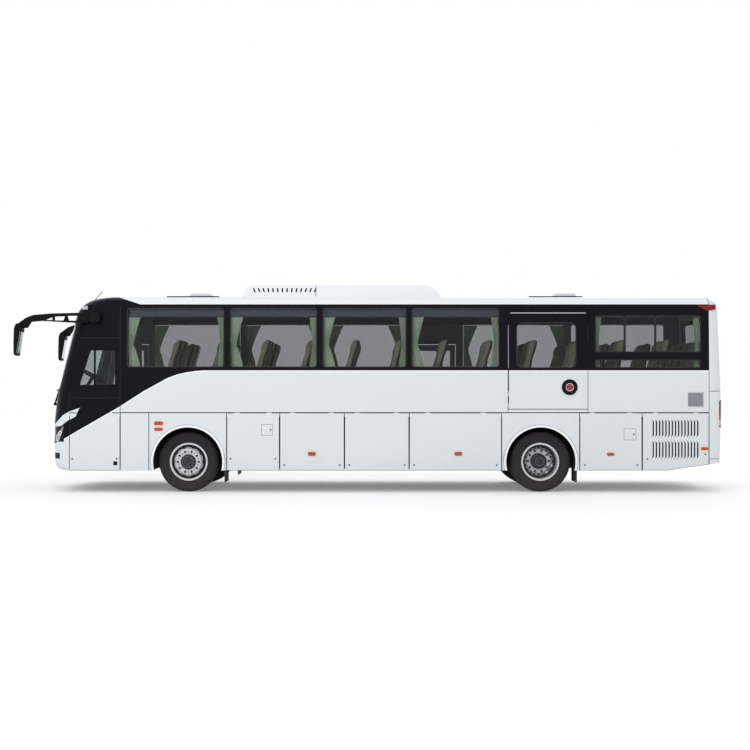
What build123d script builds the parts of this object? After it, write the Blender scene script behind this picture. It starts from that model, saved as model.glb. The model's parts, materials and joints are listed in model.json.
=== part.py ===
from build123d import *
import math
import os

# Airport coach with luggage lockers below a high floor.
# Millimetres. The nose points to -X, the driver's side is -Y and +Z is up.
# The origin is on the ground, under the centre of the overall box.

# Overall sizes
NOSE_X = -5215
REAR_X = 5635
HALF_WIDTH = 1250
SKIRT_Z = 344
FLOOR_Z = 1264
BELT_Z = 1932
BAND_TOP_Z = 2982
CROWN_Z = BAND_TOP_Z + 168
CROWN_DROP = 60
WALL = 45
SEAM = 8
HINGE_GAP = 12
KNUCKLE_CLEAR = 0.3
GLASS_T = 6
GLASS_INSET = 3
GLASS_CLEAR = 0.3
FIT = 0.3

# Wheels and axles
FRONT_AXLE_X = -2920
REAR_AXLE_X = 2680
TYRE_R = 478
TYRE_W = 276
RIM_R = 298
RIM_W = 214
FRONT_WHEEL_Y = 1040
TWIN_Y = 920
TWIN_SPACING = 310
KINGPIN_Y = 890
KINGPIN_R = 22
SPINDLE_R = 40
DISC_OFFSET = 150
ARCH_R = 550
ARCH_LIP = 36
LIP_PROUD = 12

# Cap seams and their rounded plan
CAP_SEAM_X = -4803
MASK_END_X = -3991
REAR_SEAM_X = 5352
FRONT_BOW = 175
FRONT_CORNER_R = 300
REAR_BOW = 85
REAR_CORNER_R = 150

# Body sections: height, set-back of the nose, of each side and of the tail
BODY_ROWS = (
    (SKIRT_Z, 130, 0, 24),
    (SKIRT_Z + 18, 80, 0, 20),
    (SKIRT_Z + 51, 38, 0, 16),
    (SKIRT_Z + 106, 17, 0, 12),
    (830, 0, 0, 4),
    (1147, 11, 0, 0),
    (1597, 62, 0, 0),
    (2673, 323, 26, 38),
    (2820, 360, 29.5, 43),
    (2900, 398, 31.5, 48),
    (BAND_TOP_Z, 470, 33.5, 60),
    (BAND_TOP_Z + 38, 520, 52, 78),
    (BAND_TOP_Z + 68, 570, 76, 100),
    (BAND_TOP_Z + 93, 630, 108, 130),
    (BAND_TOP_Z + 113, 700, 150, 170),
    (BAND_TOP_Z + 126, 770, 200, 215),
    (CROWN_Z + 10, 1150, 420, 500),
)

# Side windows of the driver's side: x from, x to, z from, z to, corner radius
WINDOW_Z0 = 1987
WINDOW_Z1 = 2920
WINDOW_R = 40
WINDOWS_LEFT = (
    (-3880, -2351, WINDOW_Z0, WINDOW_Z1, WINDOW_R),
    (-2245, -879, WINDOW_Z0, WINDOW_Z1, WINDOW_R),
    (-775, 542, WINDOW_Z0, WINDOW_Z1, WINDOW_R),
    (638, 2015, WINDOW_Z0, WINDOW_Z1, WINDOW_R),
    (3552, 4005, 2227, 2801, 25),
    (4025, 4492, 2227, 2801, 25),
    (4512, 5217, 2227, 2801, 25),
    (3552, 5217, 1978, 2098, 25),
)
WINDOWS_RIGHT = (
    (-3880, -2351, WINDOW_Z0, WINDOW_Z1, WINDOW_R),
    (-2245, -879, WINDOW_Z0, WINDOW_Z1, WINDOW_R),
    (-775, 542, WINDOW_Z0, WINDOW_Z1, WINDOW_R),
    (1620, 3420, WINDOW_Z0, WINDOW_Z1, WINDOW_R),
    (3552, 5217, WINDOW_Z0, 2801, WINDOW_R),
)

# Lower doors of each side: name, x from, x to, lowest z
LOCKERS_LEFT = (
    ("front_locker_door_left", CAP_SEAM_X, MASK_END_X, SKIRT_Z),
    ("service_door_left", -2305, -1463, SKIRT_Z),
    ("luggage_door_left_1", -1463, -435, SKIRT_Z),
    ("luggage_door_left_2", -435, 592, SKIRT_Z),
    ("luggage_door_left_3", 592, 2061, SKIRT_Z),
    ("rear_service_door_left", 3296, 4289, SKIRT_Z),
    ("radiator_door_left", 4289, REAR_SEAM_X, SKIRT_Z),
)
LOCKERS_RIGHT = (
    ("luggage_door_right_1", -1463, -435, SKIRT_Z),
    ("luggage_door_right_2", -435, 592, SKIRT_Z),
    ("rear_service_door_right", 3296, 4289, SKIRT_Z),
)

# Fixed lower panels of each side: x from, x to, wheel centre or None
PANELS_LEFT = (
    (MASK_END_X, -3538, None),
    (-3538, -2305, FRONT_AXLE_X),
    (2061, 3296, REAR_AXLE_X),
)
PANELS_RIGHT = (
    (MASK_END_X, -3538, None),
    (-3538, -2305, FRONT_AXLE_X),
    (-2305, -1463, None),
    (1560, 2061, None),
    (2061, 3296, REAR_AXLE_X),
    (4289, REAR_SEAM_X, None),
)

# Amber markers on the doors and panels: x from, x to, z from, z to
SIDE_MARKERS = (
    (-1013, -890, 580, 639),
    (1312, 1430, 580, 639),
    (3730, 3843, 577, 626),
    (5221, 5332, 669, 712),
)
# Amber lamps ahead of the front arch: x from the axle, z
ARCH_MARKERS = (
    (-531, -394, 975, 1021),
    (-531, -394, 1063, 1123),
)
# Lamps at the dome's sides: x, z
DOME_LAMP = (-4613, -4518, 2900, 2958)
MARKER_R = 20
MARKER_PROUD = 12

# Filler flaps, as grooves in a door: name, x from, x to, z from, z to
FLAPS = (
    ("service_door_left", -1752, -1574, 899, 1078),
    ("rear_service_door_left", 3998, 4190, 825, 1009),
)
FLAP_R = 12
FLAP_GROOVE = 5

# Radiator grille: rows of bowed slots
GRILLE_ROWS = ((528, 819), (867, 1158))
GRILLE_X = (4445, 5181)
GRILLE_SLOTS = 15
SLOT_W = 30
SLOT_TIP = 40
SLOT_BOW = 8

# Air vent in the side wall
VENT = (5011, 5265, 1356, 1583)
VENT_R = 12
VENT_FRAME = 14
VENT_PROUD = 5
VENT_DEEP = 18
VENT_SLATS = 6

# The tail's underside rises behind this x
TAIL_RISE_X = 4678
TAIL_RISE = 140

# Passenger doors: x from, x to, top, slant of the front edge above the waist
FRONT_DOOR = (-4790, MASK_END_X, 2450, 170)
MID_DOOR = (690, 1490, 2450, 0)
DOOR_SLANT_Z = 1500
PANE_Z0 = 1100
PANE_IN = (100, 90, 110)
DOOR_POST_IN = 65
DOOR_POST_X = 25
DOOR_POST_R = 15
ARM_REACH = 360
ARM_CLOSED_DEG = -6
ARM_SWING_DEG = 171
ARM_ELBOW = 100
ARM_T = 24
ARM_ZS = (600, 1000)
ARM_H = 40
EAR_Z = 28
EAR_T = 15.4
EAR_HALF = 20

# Emergency door of the driver's side
EMERGENCY = (2163, 3434, 1310, 2900)
EMERGENCY_PANE = (2300, 3240, 1975, 2690, 90)
EMERGENCY_EASE = 6
EMERGENCY_HINGE_ZS = (1370, 1560)
HANDLE_X = 3138
HANDLE_Z = 1665
HANDLE_R = 125
HANDLE_RING = 22
HANDLE_PROUD = 8
HANDLE_BAR = (150, 30)

# Rear engine hatch and rear window
HATCH_HALF = 840
HATCH_Z0 = 560
HATCH_Z1 = 1603
REAR_PANE_HALF = 960
REAR_PANE_Z = (1960, 2760)
REAR_PANE_R = 60
HATCH_KNUCKLE_Y = 300
HATCH_KNUCKLE_L = 90
HATCH_VENT_Y = (120, 640)
HATCH_VENT_Z = (1330, 1530)
HATCH_VENT_ROWS = 6
HATCH_VENT_H = 18

# Tail lamps and upper corner lamps, plates' places and the rear cap's grooves
TAIL_LAMP = (905, 1212, 1023, 1464)
TAIL_LAMP_R = 40
TAIL_LAMP_T = 28
TAIL_LAMP_PROUD = 8
CORNER_LAMP = ((5157, 2966), (5458, 2976), (5458, 2899), (5323, 2880))
CORNER_LAMP_T = 14
REAR_PLATE = (-260, 260, 740, 880)
FRONT_PLATE = (-260, 260, 630, 750)
GROOVE_H = 8
REAR_GROOVES = (528, HATCH_Z1)

# Driver's window: corners of its two panes, x and z
DRIVER_PANES = (
    ((-4640, 1702), (-4413, 1702), (-4413, 2249), (-4470, 2249)),
    ((-4389, 1702), (-4074, 1702), (-4074, 2249), (-4389, 2249)),
)

# Windscreen, headlamps and fog lamps
SCREEN_HALF = 1110
SCREEN_Z = (1640, 2680)
SCREEN_R = 60
SCREEN_RUBBER = 8
LAMP_Z = (798, 1059)
LAMP_IN = 780
LAMP_DROP = 60
LAMP_X = -4888
LAMP_T = 30
LAMP_FRAME = 30
FOG_LAMP = (800, 1010, 540, 612)
FOG_LAMP_R = 20

# Aerial on the dome: foot, then tip
AERIAL_Y = -600
AERIAL_FOOT = (-4595, 3040)
AERIAL_TIP = (-4411, 3250)
AERIAL_R = 5

# Roof hatches: x from, x to of the base, then of the lid
ROOF_HATCHES = (
    ("roof_hatch_lid_front", -3441, -2541, -3025, -2661),
    ("roof_hatch_lid_rear", 2577, 3485, 3037, 3395),
)
ROOF_BASE_HALF = 400
ROOF_BASE_T = 30
LID_HALF = 330
LID_T = 45
LID_SLOPE = 25
LID_LAP = 30
LID_GAP = 5
LID_PIN_Y = 200
LID_PIN_L = 120
LID_TAB = 20
LID_TAB_T = 4

# Steps, floor and lockers
FLOOR_T = 40
FLOOR_COVER = 16
FLOOR_TOP = FLOOR_Z + FLOOR_COVER
BAY_FLOOR_Z = 400
BAY_T = 25
STEP_COUNT = 3
STEPWELL_DEPTH = 620
STEP_FLOOR_Z = 400
BULKHEAD_T = 20
INNER_HALF = HALF_WIDTH - WALL - 12
DECK_NOSE_X = -5000
DECK_NOSE_HALF = 850
WELL_FRONT = (FRONT_DOOR[0], FRONT_DOOR[1] - 20)
WELL_MID = (MID_DOOR[0], MID_DOOR[1])
BULKHEADS = (-1463, -435, 592, 2061)

# Chassis
RAIL_Y = 420
RAIL_W = 80
RAIL_H = 130
RAIL_TOP = FLOOR_Z - FLOOR_T
WHEELHOUSE_HALF = 596
FRONT_HOUSE_Y = 560
REAR_HOUSE_Y = 600
HOUSE_TOP = 1060
HOUSE_T = 12
AXLE_WAY = 110
ROD_WAY = 280
AXLE_WAY_TOP = 640
CROSS_XS = (-4703, -3560, -2280, -1463, -435, 592, 2030, 3330, 4289, 5252)
CROSS_W = 80
MUD_FLAP = (700, 1190, 150, 404)
MUD_FLAP_T = 10

# Front axle: beam, kingpin eyes, knuckles and tie rod
BEAM_W = 100
BEAM_Z = (430, 528)
EYE_R = 52
EAR_GAP = 5
KNUCKLE_EAR = 40
KNUCKLE_OUT = 85
KNUCKLE_IN = 30
TIE_ARM_X = 220
TIE_ARM_IN = 60
TIE_ARM_W = 36
TIE_ARM_T = 20
TIE_R = 16
TIE_EYE_R = 24
TIE_EYE_H = 40

# Rear axle: tube, differential, spring carriers and propeller shaft
TUBE_R = 75
DIFF_R = 190
CARRIER_X = 420
CARRIER_HALF_W = 50
CARRIER_HALF_H = 40
SPRING_X = 340
SPRING_R = 100
SHAFT_R = 45
SHAFT_Z = 600

# Wheels' hubs, disc holes and hand holes
HUB_R = 120
HUB_LENGTH = 55
TWIN_HUB_LENGTH = 175
DISC_HOLES = 10
DISC_HOLE_R = 9
DISC_HOLE_CIRCLE = 162
HAND_HOLE_R = 17
HAND_HOLE_CIRCLE = 217

# Engine, radiator and tanks
ENGINE_X = (4060, 5180)
ENGINE_Z0 = 540
RADIATOR_T = 130
FUEL_TANK = (-2220, -1560, 460)
AIR_TANK_X = 3680
AIR_TANK_L = 620
AIR_TANK_R = 110

# Seats: pitch and places
SEAT_PITCH = 712
SEAT_FIRST_X = -3350
SEAT_ROWS = 12
SEAT_W = 450
SEAT_BASE_Z = 400
SEAT_SIDE_GAP = 48
REAR_BENCH_X = 5110
# Side outlines of a bench and of the driver's seat: x from its place, z from the floor
SEAT_OUTLINE = ((-230, 400), (190, 400), (330, 1150), (220, 1170), (90, 520), (-230, 520))
DRIVER_OUTLINE = ((-230, 0), (210, 0), (290, 720), (200, 720), (100, 110), (-230, 110))
DRIVER_X = -4160
DRIVER_Y = 740
DRIVER_HALF = 260
DRIVER_SEAT_H = 330
PEDESTAL = (60, 150)
DRIVER_PEDESTAL = (100, 120)

# Racks, curtains, dashboard and partition
RACK_Z = 2790
RACK_X = (-3850, 5200)
RACK_OUTLINE = ((-980, 240), (-830, 235), (-800, 100), (-860, 0))
RACK_FOOT = 170
CURTAIN_Z = (1960, RACK_Z - FIT)
CURTAIN_T = 16
# Curtain widths at the top, at the tie and at the foot, and the tie's height
CURTAIN_WIDTHS = (260, 90, 180)
CURTAIN_TIE_Z = 2350
DASH_OUTLINE = ((-4990, FLOOR_TOP), (-4990, 1600), (-4860, 1690), (-4700, 1680), (-4640, 1600), (-4700, FLOOR_TOP))
DASH_Y = (-1000, 560)
BOSS_R = 55
BOSS_L = 180
WHEEL_HUB = (-4540, -DRIVER_Y, 1850)
WHEEL_R = 215
STEER_TILT = 30
COLUMN_L = 180
PARTITION_X = -3850
PARTITION_Y = -330
PARTITION_TOP = 2500

# Roof unit: outlines of its length and of half its width, its seam, slots and fans
AC_LENGTH = ((-2120, 3000), (-2113, 3051), (-2091, 3131), (-2022, 3268), (-1965, 3305), (-1900, 3317),
             (850, 3317), (925, 3305), (990, 3269), (1072, 3197), (1096, 3147), (1103, 3000))
AC_WIDTH = ((980, 3000), (900, 3282), (860, 3322))
AC_SEAM = (-907, -901)
AC_SLOTS_X = (-1896, -917)
AC_SLOTS_Z = (3200, 3268)
AC_SLOT_COUNT = 14
AC_SLOT_W = 26
AC_SLOT_LEAN = 30
AC_SLOT_Y = 912
AC_FANS = ((-1660, 380), (-1172, 380), (-1660, -380), (-1172, -380))
AC_FAN_R = 136
AC_TOP = 3325

# Mirrors: side outlines of arm, head and glass recess, the arm's holes, and the pod on the cap
ARM_OUTLINE = ((-4480, 2683), (-4697, 2683), (-4960, 2697), (-5222, 2712), (-5378, 2697), (-5440, 2600),
               (-5560, 2600), (-5597, 2667), (-5458, 2766), (-5345, 2807), (-5074, 2829), (-4480, 2845))
ARM_HOLES = (
    ((-5161, 2726), (-5047, 2726), (-5047, 2772)),
    ((-5012, 2781), (-4846, 2785), (-4870, 2719), (-5012, 2719)),
    ((-4811, 2791), (-4628, 2795), (-4650, 2716), (-4790, 2716)),
)
ARM_Y = (-1335, -1295)
HEAD_OUTLINE = ((-5540, 2667), (-5597, 2667), (-5628, 2595), (-5635, 2400), (-5635, 2203), (-5625, 2172),
                (-5590, 2157), (-5570, 2178), (-5505, 2558), (-5505, 2620))
HEAD_Y = (-1440, -1250)
HEAD_ROUND = 18
GLASS_RECESS = ((-5575, 2200), (-5517, 2535), (-5490, 2535), (-5548, 2200))
GLASS_RECESS_IN = 14
POD = (-4480, -4295, 2683, 2845)
POD_R = 60

# Wipers: reach of the skin they lie on, blades, and the arms' side outline
WIPER_T = 25
WIPER_Z = (1608, 1630)
WIPER_Y = 520
WIPER_HALF = 430
WIPER_ARM = ((-5236, 1378), (-5214, 1378), (-5138, 1612), (-5138, 1630), (-5160, 1630))
WIPER_ARM_HALF = 12
WIPER_BOSS = (22, -5236, -5120, 1392)


def block(x0, x1, y0, y1, z0, z1):
    """Box between two corners."""
    return Pos((x0 + x1) / 2, (y0 + y1) / 2, (z0 + z1) / 2) * Box(x1 - x0, y1 - y0, z1 - z0)


def along_y(sketch, y0, y1):
    """Prism of an X, Z outline between two places on Y."""
    return Pos(0, y1, 0) * extrude(Plane.XZ * sketch, amount=y1 - y0)


def along_x(sketch, x0, x1):
    """Prism of a Y, Z outline between two places on X."""
    return Pos(x0, 0, 0) * extrude(Plane.YZ * sketch, amount=x1 - x0)


def flat(points):
    """Face of a closed outline of straight lines."""
    return make_face(Polyline(*points, close=True))


def rounded(u0, u1, v0, v1, r):
    """Rectangle with rounded corners between two corners."""
    return Pos((u0 + u1) / 2, (v0 + v1) / 2) * RectangleRounded(u1 - u0, v1 - v0, r)


def rod(r, length, x, y, z, axis="Y"):
    """Cylinder centred at a point, along one axis."""
    turn = {"X": Rot(0, 90, 0), "Y": Rot(90, 0, 0), "Z": Rot(0, 0, 0)}[axis]
    return Pos(x, y, z) * turn * Cylinder(r, length)


def both_sides(shape):
    """A left and a right one."""
    return [shape, mirror(shape, about=Plane.XZ)]


def group(pieces):
    """Separate solids that share a node."""
    solids = []
    for piece in pieces:
        solids.extend(piece.solids())
    return Compound(solids)


def save(name, shape):
    export_step(shape, "parts/" + name + ".step")


# Body form

def crown_face(inset):
    """All that lies under the crowned roof, as a Y, Z face."""
    half = HALF_WIDTH + 50
    top = CROWN_Z - inset
    edge = top - CROWN_DROP * (half / HALF_WIDTH) ** 2
    arc = ThreePointArc((-half, edge), (0, top), (half, edge))
    foot = Polyline((half, edge), (half, 0), (-half, 0), (-half, edge))
    return make_face(arc + foot)


def section_face(inset):
    """Cross-section of the straight stretch of the body."""
    right = [(HALF_WIDTH - side - inset, z) for z, nose, side, tail in BODY_ROWS]
    left = [(-y, z) for y, z in reversed(right)]
    return flat(right + left) & crown_face(inset)


def front_outline(nose, side, inset, end):
    """Plan outline of the front cap at one height."""
    x = NOSE_X + nose + inset
    h = HALF_WIDTH - side - inset
    bow = ThreePointArc((x + FRONT_BOW, h), (x, 0), (x + FRONT_BOW, -h))
    rest = Polyline((x + FRONT_BOW, -h), (end, -h), (end, h), (x + FRONT_BOW, h))
    face = make_face(bow + rest)
    corners = face.vertices().sort_by(Axis.X)[:2]
    return fillet(corners, FRONT_CORNER_R - inset)


def rear_outline(side, tail, inset, end):
    """Plan outline of the rear cap at one height."""
    x = REAR_X - tail - inset
    h = HALF_WIDTH - side - inset
    bow = ThreePointArc((x - REAR_BOW, -h), (x, 0), (x - REAR_BOW, h))
    rest = Polyline((x - REAR_BOW, h), (end, h), (end, -h), (x - REAR_BOW, -h))
    face = make_face(bow + rest)
    corners = face.vertices().sort_by(Axis.X)[-2:]
    return fillet(corners, REAR_CORNER_R - inset)


def front_form(inset):
    """Solid front cap, inset by a wall."""
    end = MASK_END_X + 600
    faces = [Pos(0, 0, z) * front_outline(nose, side, inset, end) for z, nose, side, tail in BODY_ROWS]
    return loft(faces, ruled=True) & along_x(crown_face(inset), NOSE_X - 100, MASK_END_X)


def rear_form(inset):
    """Solid rear cap, inset by a wall."""
    end = REAR_SEAM_X - 600
    faces = [Pos(0, 0, z) * rear_outline(side, tail, inset, end) for z, nose, side, tail in BODY_ROWS]
    return loft(faces, ruled=True) & along_x(crown_face(inset), REAR_SEAM_X, REAR_X + 100)


def side_y(z, inset=0):
    """Half width of the outer skin at a height."""
    rows = [(row[0], row[2]) for row in BODY_ROWS]
    for (z0, s0), (z1, s1) in zip(rows, rows[1:]):
        if z0 <= z <= z1:
            return HALF_WIDTH - inset - s0 - (s1 - s0) * (z - z0) / (z1 - z0)
    return HALF_WIDTH - inset


def skin_slab(outer, inner, z0, z1, x0, x1):
    """Slab that follows the left side's lean, between two insets."""
    zs = [z0] + [row[0] for row in BODY_ROWS if z0 < row[0] < z1] + [z1]
    outside = [(-side_y(z, outer), z) for z in zs]
    inside = [(-side_y(z, inner), z) for z in reversed(zs)]
    return along_x(flat(outside + inside), x0, x1)


def window_cut(x0, x1, z0, z1, r, grow=0):
    """Tool for a window or a pane, through the left side."""
    outline = rounded(x0 - grow, x1 + grow, z0 - grow, z1 + grow, r)
    return along_y(outline, -HALF_WIDTH - 50, -HALF_WIDTH + 350)


def tail_cut():
    """What lies below the rising underside of the tail."""
    slope = flat([(TAIL_RISE_X, SKIRT_Z - 1), (REAR_X + 50, SKIRT_Z - 1),
                  (REAR_X + 50, SKIRT_Z + TAIL_RISE), (TAIL_RISE_X, SKIRT_Z)])
    return along_y(slope, -HALF_WIDTH - 60, HALF_WIDTH + 60)


FRONT_OUTER = front_form(0)
FRONT_SHELL = FRONT_OUTER - front_form(WALL)
FRONT_RECESS = front_form(GLASS_INSET + GLASS_T)
FRONT_GLASS = front_form(GLASS_INSET) - FRONT_RECESS
FRONT_POCKET = front_form(LAMP_T)
FRONT_FIT = front_form(-FIT)
FRONT_PROUD = front_form(-WIPER_T - FIT) - FRONT_FIT
REAR_RECESS = rear_form(GLASS_INSET + GLASS_T)
REAR_SHELL = rear_form(0) - rear_form(WALL)


def driver_cut(points, grow=0):
    """Tool for one of the driver's panes, through the left side."""
    face = flat(points)
    if grow:
        face = offset(face, amount=grow, kind=Kind.INTERSECTION)
    return along_y(face, -HALF_WIDTH - 50, -HALF_WIDTH + 350)


def screen_cut(grow=0):
    outline = rounded(-SCREEN_HALF - grow, SCREEN_HALF + grow, SCREEN_Z[0] - grow, SCREEN_Z[1] + grow, SCREEN_R)
    return along_x(outline, NOSE_X - 100, CAP_SEAM_X + 60)


def lamp_cut(grow=0):
    """Right headlamp pocket, round the nose's corner."""
    lens = flat([(LAMP_IN - grow, LAMP_Z[0] - grow), (HALF_WIDTH + 50, LAMP_Z[0] - grow),
                 (HALF_WIDTH + 50, LAMP_Z[1] + grow), (LAMP_IN - grow, LAMP_Z[1] - LAMP_DROP + grow)])
    return along_x(lens, NOSE_X - 100, LAMP_X + grow)


def fog_cut(grow=0):
    """Right fog lamp pocket in the bumper."""
    y0, y1, z0, z1 = FOG_LAMP
    return along_x(rounded(y0 - grow, y1 + grow, z0 - grow, z1 + grow, FOG_LAMP_R), NOSE_X - 100, LAMP_X)


def aerial():
    """Short whip that leans back from the dome."""
    dx = AERIAL_TIP[0] - AERIAL_FOOT[0]
    dz = AERIAL_TIP[1] - AERIAL_FOOT[1]
    middle = Pos((AERIAL_FOOT[0] + AERIAL_TIP[0]) / 2, AERIAL_Y, (AERIAL_FOOT[1] + AERIAL_TIP[1]) / 2)
    return middle * Rot(0, math.degrees(math.atan2(dx, dz)), 0) * Cylinder(AERIAL_R, math.hypot(dx, dz))


def front_mask():
    """Front cap with the nose, the dome, the screen's frame and the driver's window frame."""
    shell = FRONT_SHELL - block(CAP_SEAM_X, MASK_END_X + 10, -2000, 2000, 0, FLOOR_Z)
    shell -= screen_cut()
    for points in DRIVER_PANES:
        shell -= driver_cut(points)
    shell -= mirror(door_outline(FRONT_DOOR, 0, 10), about=Plane.XZ)
    for pocket in both_sides(lamp_cut()):
        shell -= pocket
    for pocket in both_sides(fog_cut()):
        shell -= pocket - FRONT_POCKET
    shell -= block(NOSE_X - 100, NOSE_X + 200, *FRONT_PLATE) - FRONT_RECESS
    back = block(NOSE_X - 100, LAMP_X + WALL, LAMP_IN - LAMP_FRAME, HALF_WIDTH, LAMP_Z[0] - LAMP_FRAME,
                 LAMP_Z[1] + LAMP_FRAME)
    back &= FRONT_POCKET - front_form(WALL + LAMP_T)
    for piece in both_sides(back):
        shell += piece
    return shell + (aerial() - front_form(WALL / 2))


def door_outline(spec, gap, past=0):
    """Prism of a passenger door, through the left side's mirror image."""
    x0, x1, top, slant = spec
    outline = flat([(x0 + gap, 0), (x0 + gap, DOOR_SLANT_Z), (x0 + gap + slant, top - gap),
                    (x1 - gap + past, top - gap), (x1 - gap + past, 0)])
    return along_y(outline, -HALF_WIDTH - 50, -HALF_WIDTH + 350)


def driver_glass():
    return [FRONT_GLASS & driver_cut(points, -GLASS_CLEAR) for points in DRIVER_PANES]


def windscreen():
    """Two panes that meet at a thin rubber."""
    glass = FRONT_GLASS & screen_cut(-GLASS_CLEAR)
    half = SCREEN_RUBBER / 2
    return glass - block(NOSE_X - 100, MASK_END_X, -half, half, SCREEN_Z[0] - 50, SCREEN_Z[1] + 50)


def headlamps():
    """Headlamp and fog lamp lenses of both sides."""
    skin = front_form(GLASS_INSET) - front_form(LAMP_T - FIT)
    lenses = []
    for tool in (lamp_cut(-FIT), fog_cut(-FIT)):
        lenses += both_sides(skin & tool)
    return group(lenses)


# Side walls and roof

def side_wall(windows, opening):
    """Wall of the left side, from the floor line to the band's top."""
    wall = skin_slab(0, WALL, FLOOR_Z, BAND_TOP_Z, MASK_END_X, REAR_SEAM_X)
    for x0, x1, z0, z1, r in windows:
        wall -= window_cut(x0, x1, z0, z1, r)
    return vented(wall - opening)


def vented(wall):
    """Left wall with a louvred air vent in a raised frame."""
    x0, x1, z0, z1 = VENT
    frame = rounded(x0 - VENT_FRAME, x1 + VENT_FRAME, z0 - VENT_FRAME, z1 + VENT_FRAME, VENT_R + VENT_FRAME)
    wall += along_y(frame, -HALF_WIDTH - VENT_PROUD, -HALF_WIDTH + VENT_DEEP)
    wall -= along_y(rounded(x0, x1, z0, z1, VENT_R), -HALF_WIDTH - 50, -HALF_WIDTH + VENT_DEEP)
    pitch = (z1 - z0) / VENT_SLATS
    for i in range(VENT_SLATS):
        z = z0 + (i + 0.5) * pitch
        slat = flat([(-HALF_WIDTH + 2, z - 10), (-HALF_WIDTH + VENT_DEEP + 1, z + 4),
                     (-HALF_WIDTH + VENT_DEEP + 1, z + 10), (-HALF_WIDTH + 2, z - 4)])
        wall += along_x(slat, x0 - 1, x1 + 1)
    return wall


def emergency_opening():
    x0, x1, z0, z1 = EMERGENCY
    return block(x0, x1, -HALF_WIDTH - 50, -HALF_WIDTH + 350, z0, z1)


def panes(windows):
    slab = skin_slab(GLASS_INSET, GLASS_INSET + GLASS_T, BELT_Z, BAND_TOP_Z, MASK_END_X, REAR_SEAM_X)
    return [slab & window_cut(x0, x1, z0, z1, r, -GLASS_CLEAR) for x0, x1, z0, z1, r in windows]


def lid_base(x0, x1):
    """Flat base of a roof hatch, standing on the crown."""
    return block(x0, x1, -ROOF_BASE_HALF, ROOF_BASE_HALF, CROWN_Z - 40, CROWN_Z + ROOF_BASE_T)


def roof():
    """Roof with its rounded edges, and the bases of the two hatches."""
    ring = section_face(0) - section_face(WALL)
    ring &= Pos(0, BAND_TOP_Z + 500) * Rectangle(4000, 1000)
    shell = along_x(ring, MASK_END_X, REAR_SEAM_X)
    for name, x0, x1, lid0, lid1 in ROOF_HATCHES:
        shell += lid_base(x0, x1) - along_x(crown_face(WALL), x0 - 10, x1 + 10)
    half = LID_HALF - LID_LAP
    for name, x0, x1, lid0, lid1 in ROOF_HATCHES:
        shell -= block(lid0 + LID_LAP, lid1 - LID_LAP, -half, half, CROWN_Z - 200, CROWN_Z + 200)
    return shell


def roof_lid(lid0, lid1):
    """Raised lid with a skirt, hinged at its front edge."""
    z0 = CROWN_Z + ROOF_BASE_T + LID_GAP
    outline = flat([(lid0, z0), (lid1, z0), (lid1 - LID_SLOPE, z0 + LID_T), (lid0 + LID_SLOPE, z0 + LID_T)])
    lid = along_y(outline, -LID_HALF, LID_HALF)
    x = lid0 - LID_TAB_T
    half = LID_PIN_L / 2
    for y in (-LID_PIN_Y, LID_PIN_Y):
        lid += rod(LID_GAP - KNUCKLE_CLEAR, LID_PIN_L, x, y, z0)
        lid += block(x, lid0 + LID_TAB, y - half, y + half, z0, z0 + LID_TAB_T)
    return lid


# Rear cap

def rear_pane_cut(grow=0):
    z0, z1 = REAR_PANE_Z
    outline = rounded(-REAR_PANE_HALF - grow, REAR_PANE_HALF + grow, z0 - grow, z1 + grow, REAR_PANE_R)
    return along_x(outline, REAR_SEAM_X + 60, REAR_X + 100)


def tail_lamp_cut(grow=0):
    y0, y1, z0, z1 = TAIL_LAMP
    outline = rounded(y0 - grow, y1 + grow, z0 - grow, z1 + grow, TAIL_LAMP_R)
    return along_x(outline, REAR_SEAM_X + 60, REAR_X + 100)


def rear_cap():
    """Rear cap with the hatch opening, the rear window's frame, the lamp pockets and two grooves."""
    shell = REAR_SHELL - tail_cut() - rear_pane_cut()
    shell -= block(REAR_SEAM_X, REAR_X + 50, -HATCH_HALF, HATCH_HALF, HATCH_Z0, HATCH_Z1)
    lens_floor = rear_form(TAIL_LAMP_T)
    for pocket in both_sides(tail_lamp_cut()):
        shell -= pocket - lens_floor
    for z in REAR_GROOVES:
        shell -= block(REAR_SEAM_X - 10, REAR_X + 50, -2000, 2000, z - GROOVE_H, z) - REAR_RECESS
    return shell


def tail_lamps():
    """Lenses round the tail's corners, and a wedge at each upper corner."""
    skin = rear_form(-TAIL_LAMP_PROUD) - rear_form(TAIL_LAMP_T - FIT)
    y = -side_y(CORNER_LAMP[-1][1]) - FIT
    wedge = along_y(flat(CORNER_LAMP), y - CORNER_LAMP_T, y)
    return group(both_sides(skin & tail_lamp_cut(-FIT)) + both_sides(wedge))


def rear_window():
    return (rear_form(GLASS_INSET) - REAR_RECESS) & rear_pane_cut(-GLASS_CLEAR)


def hatch_axis_x():
    """Hinge line of the engine hatch, at the tail's foremost place."""
    return REAR_X - HINGE_GAP / 2


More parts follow.
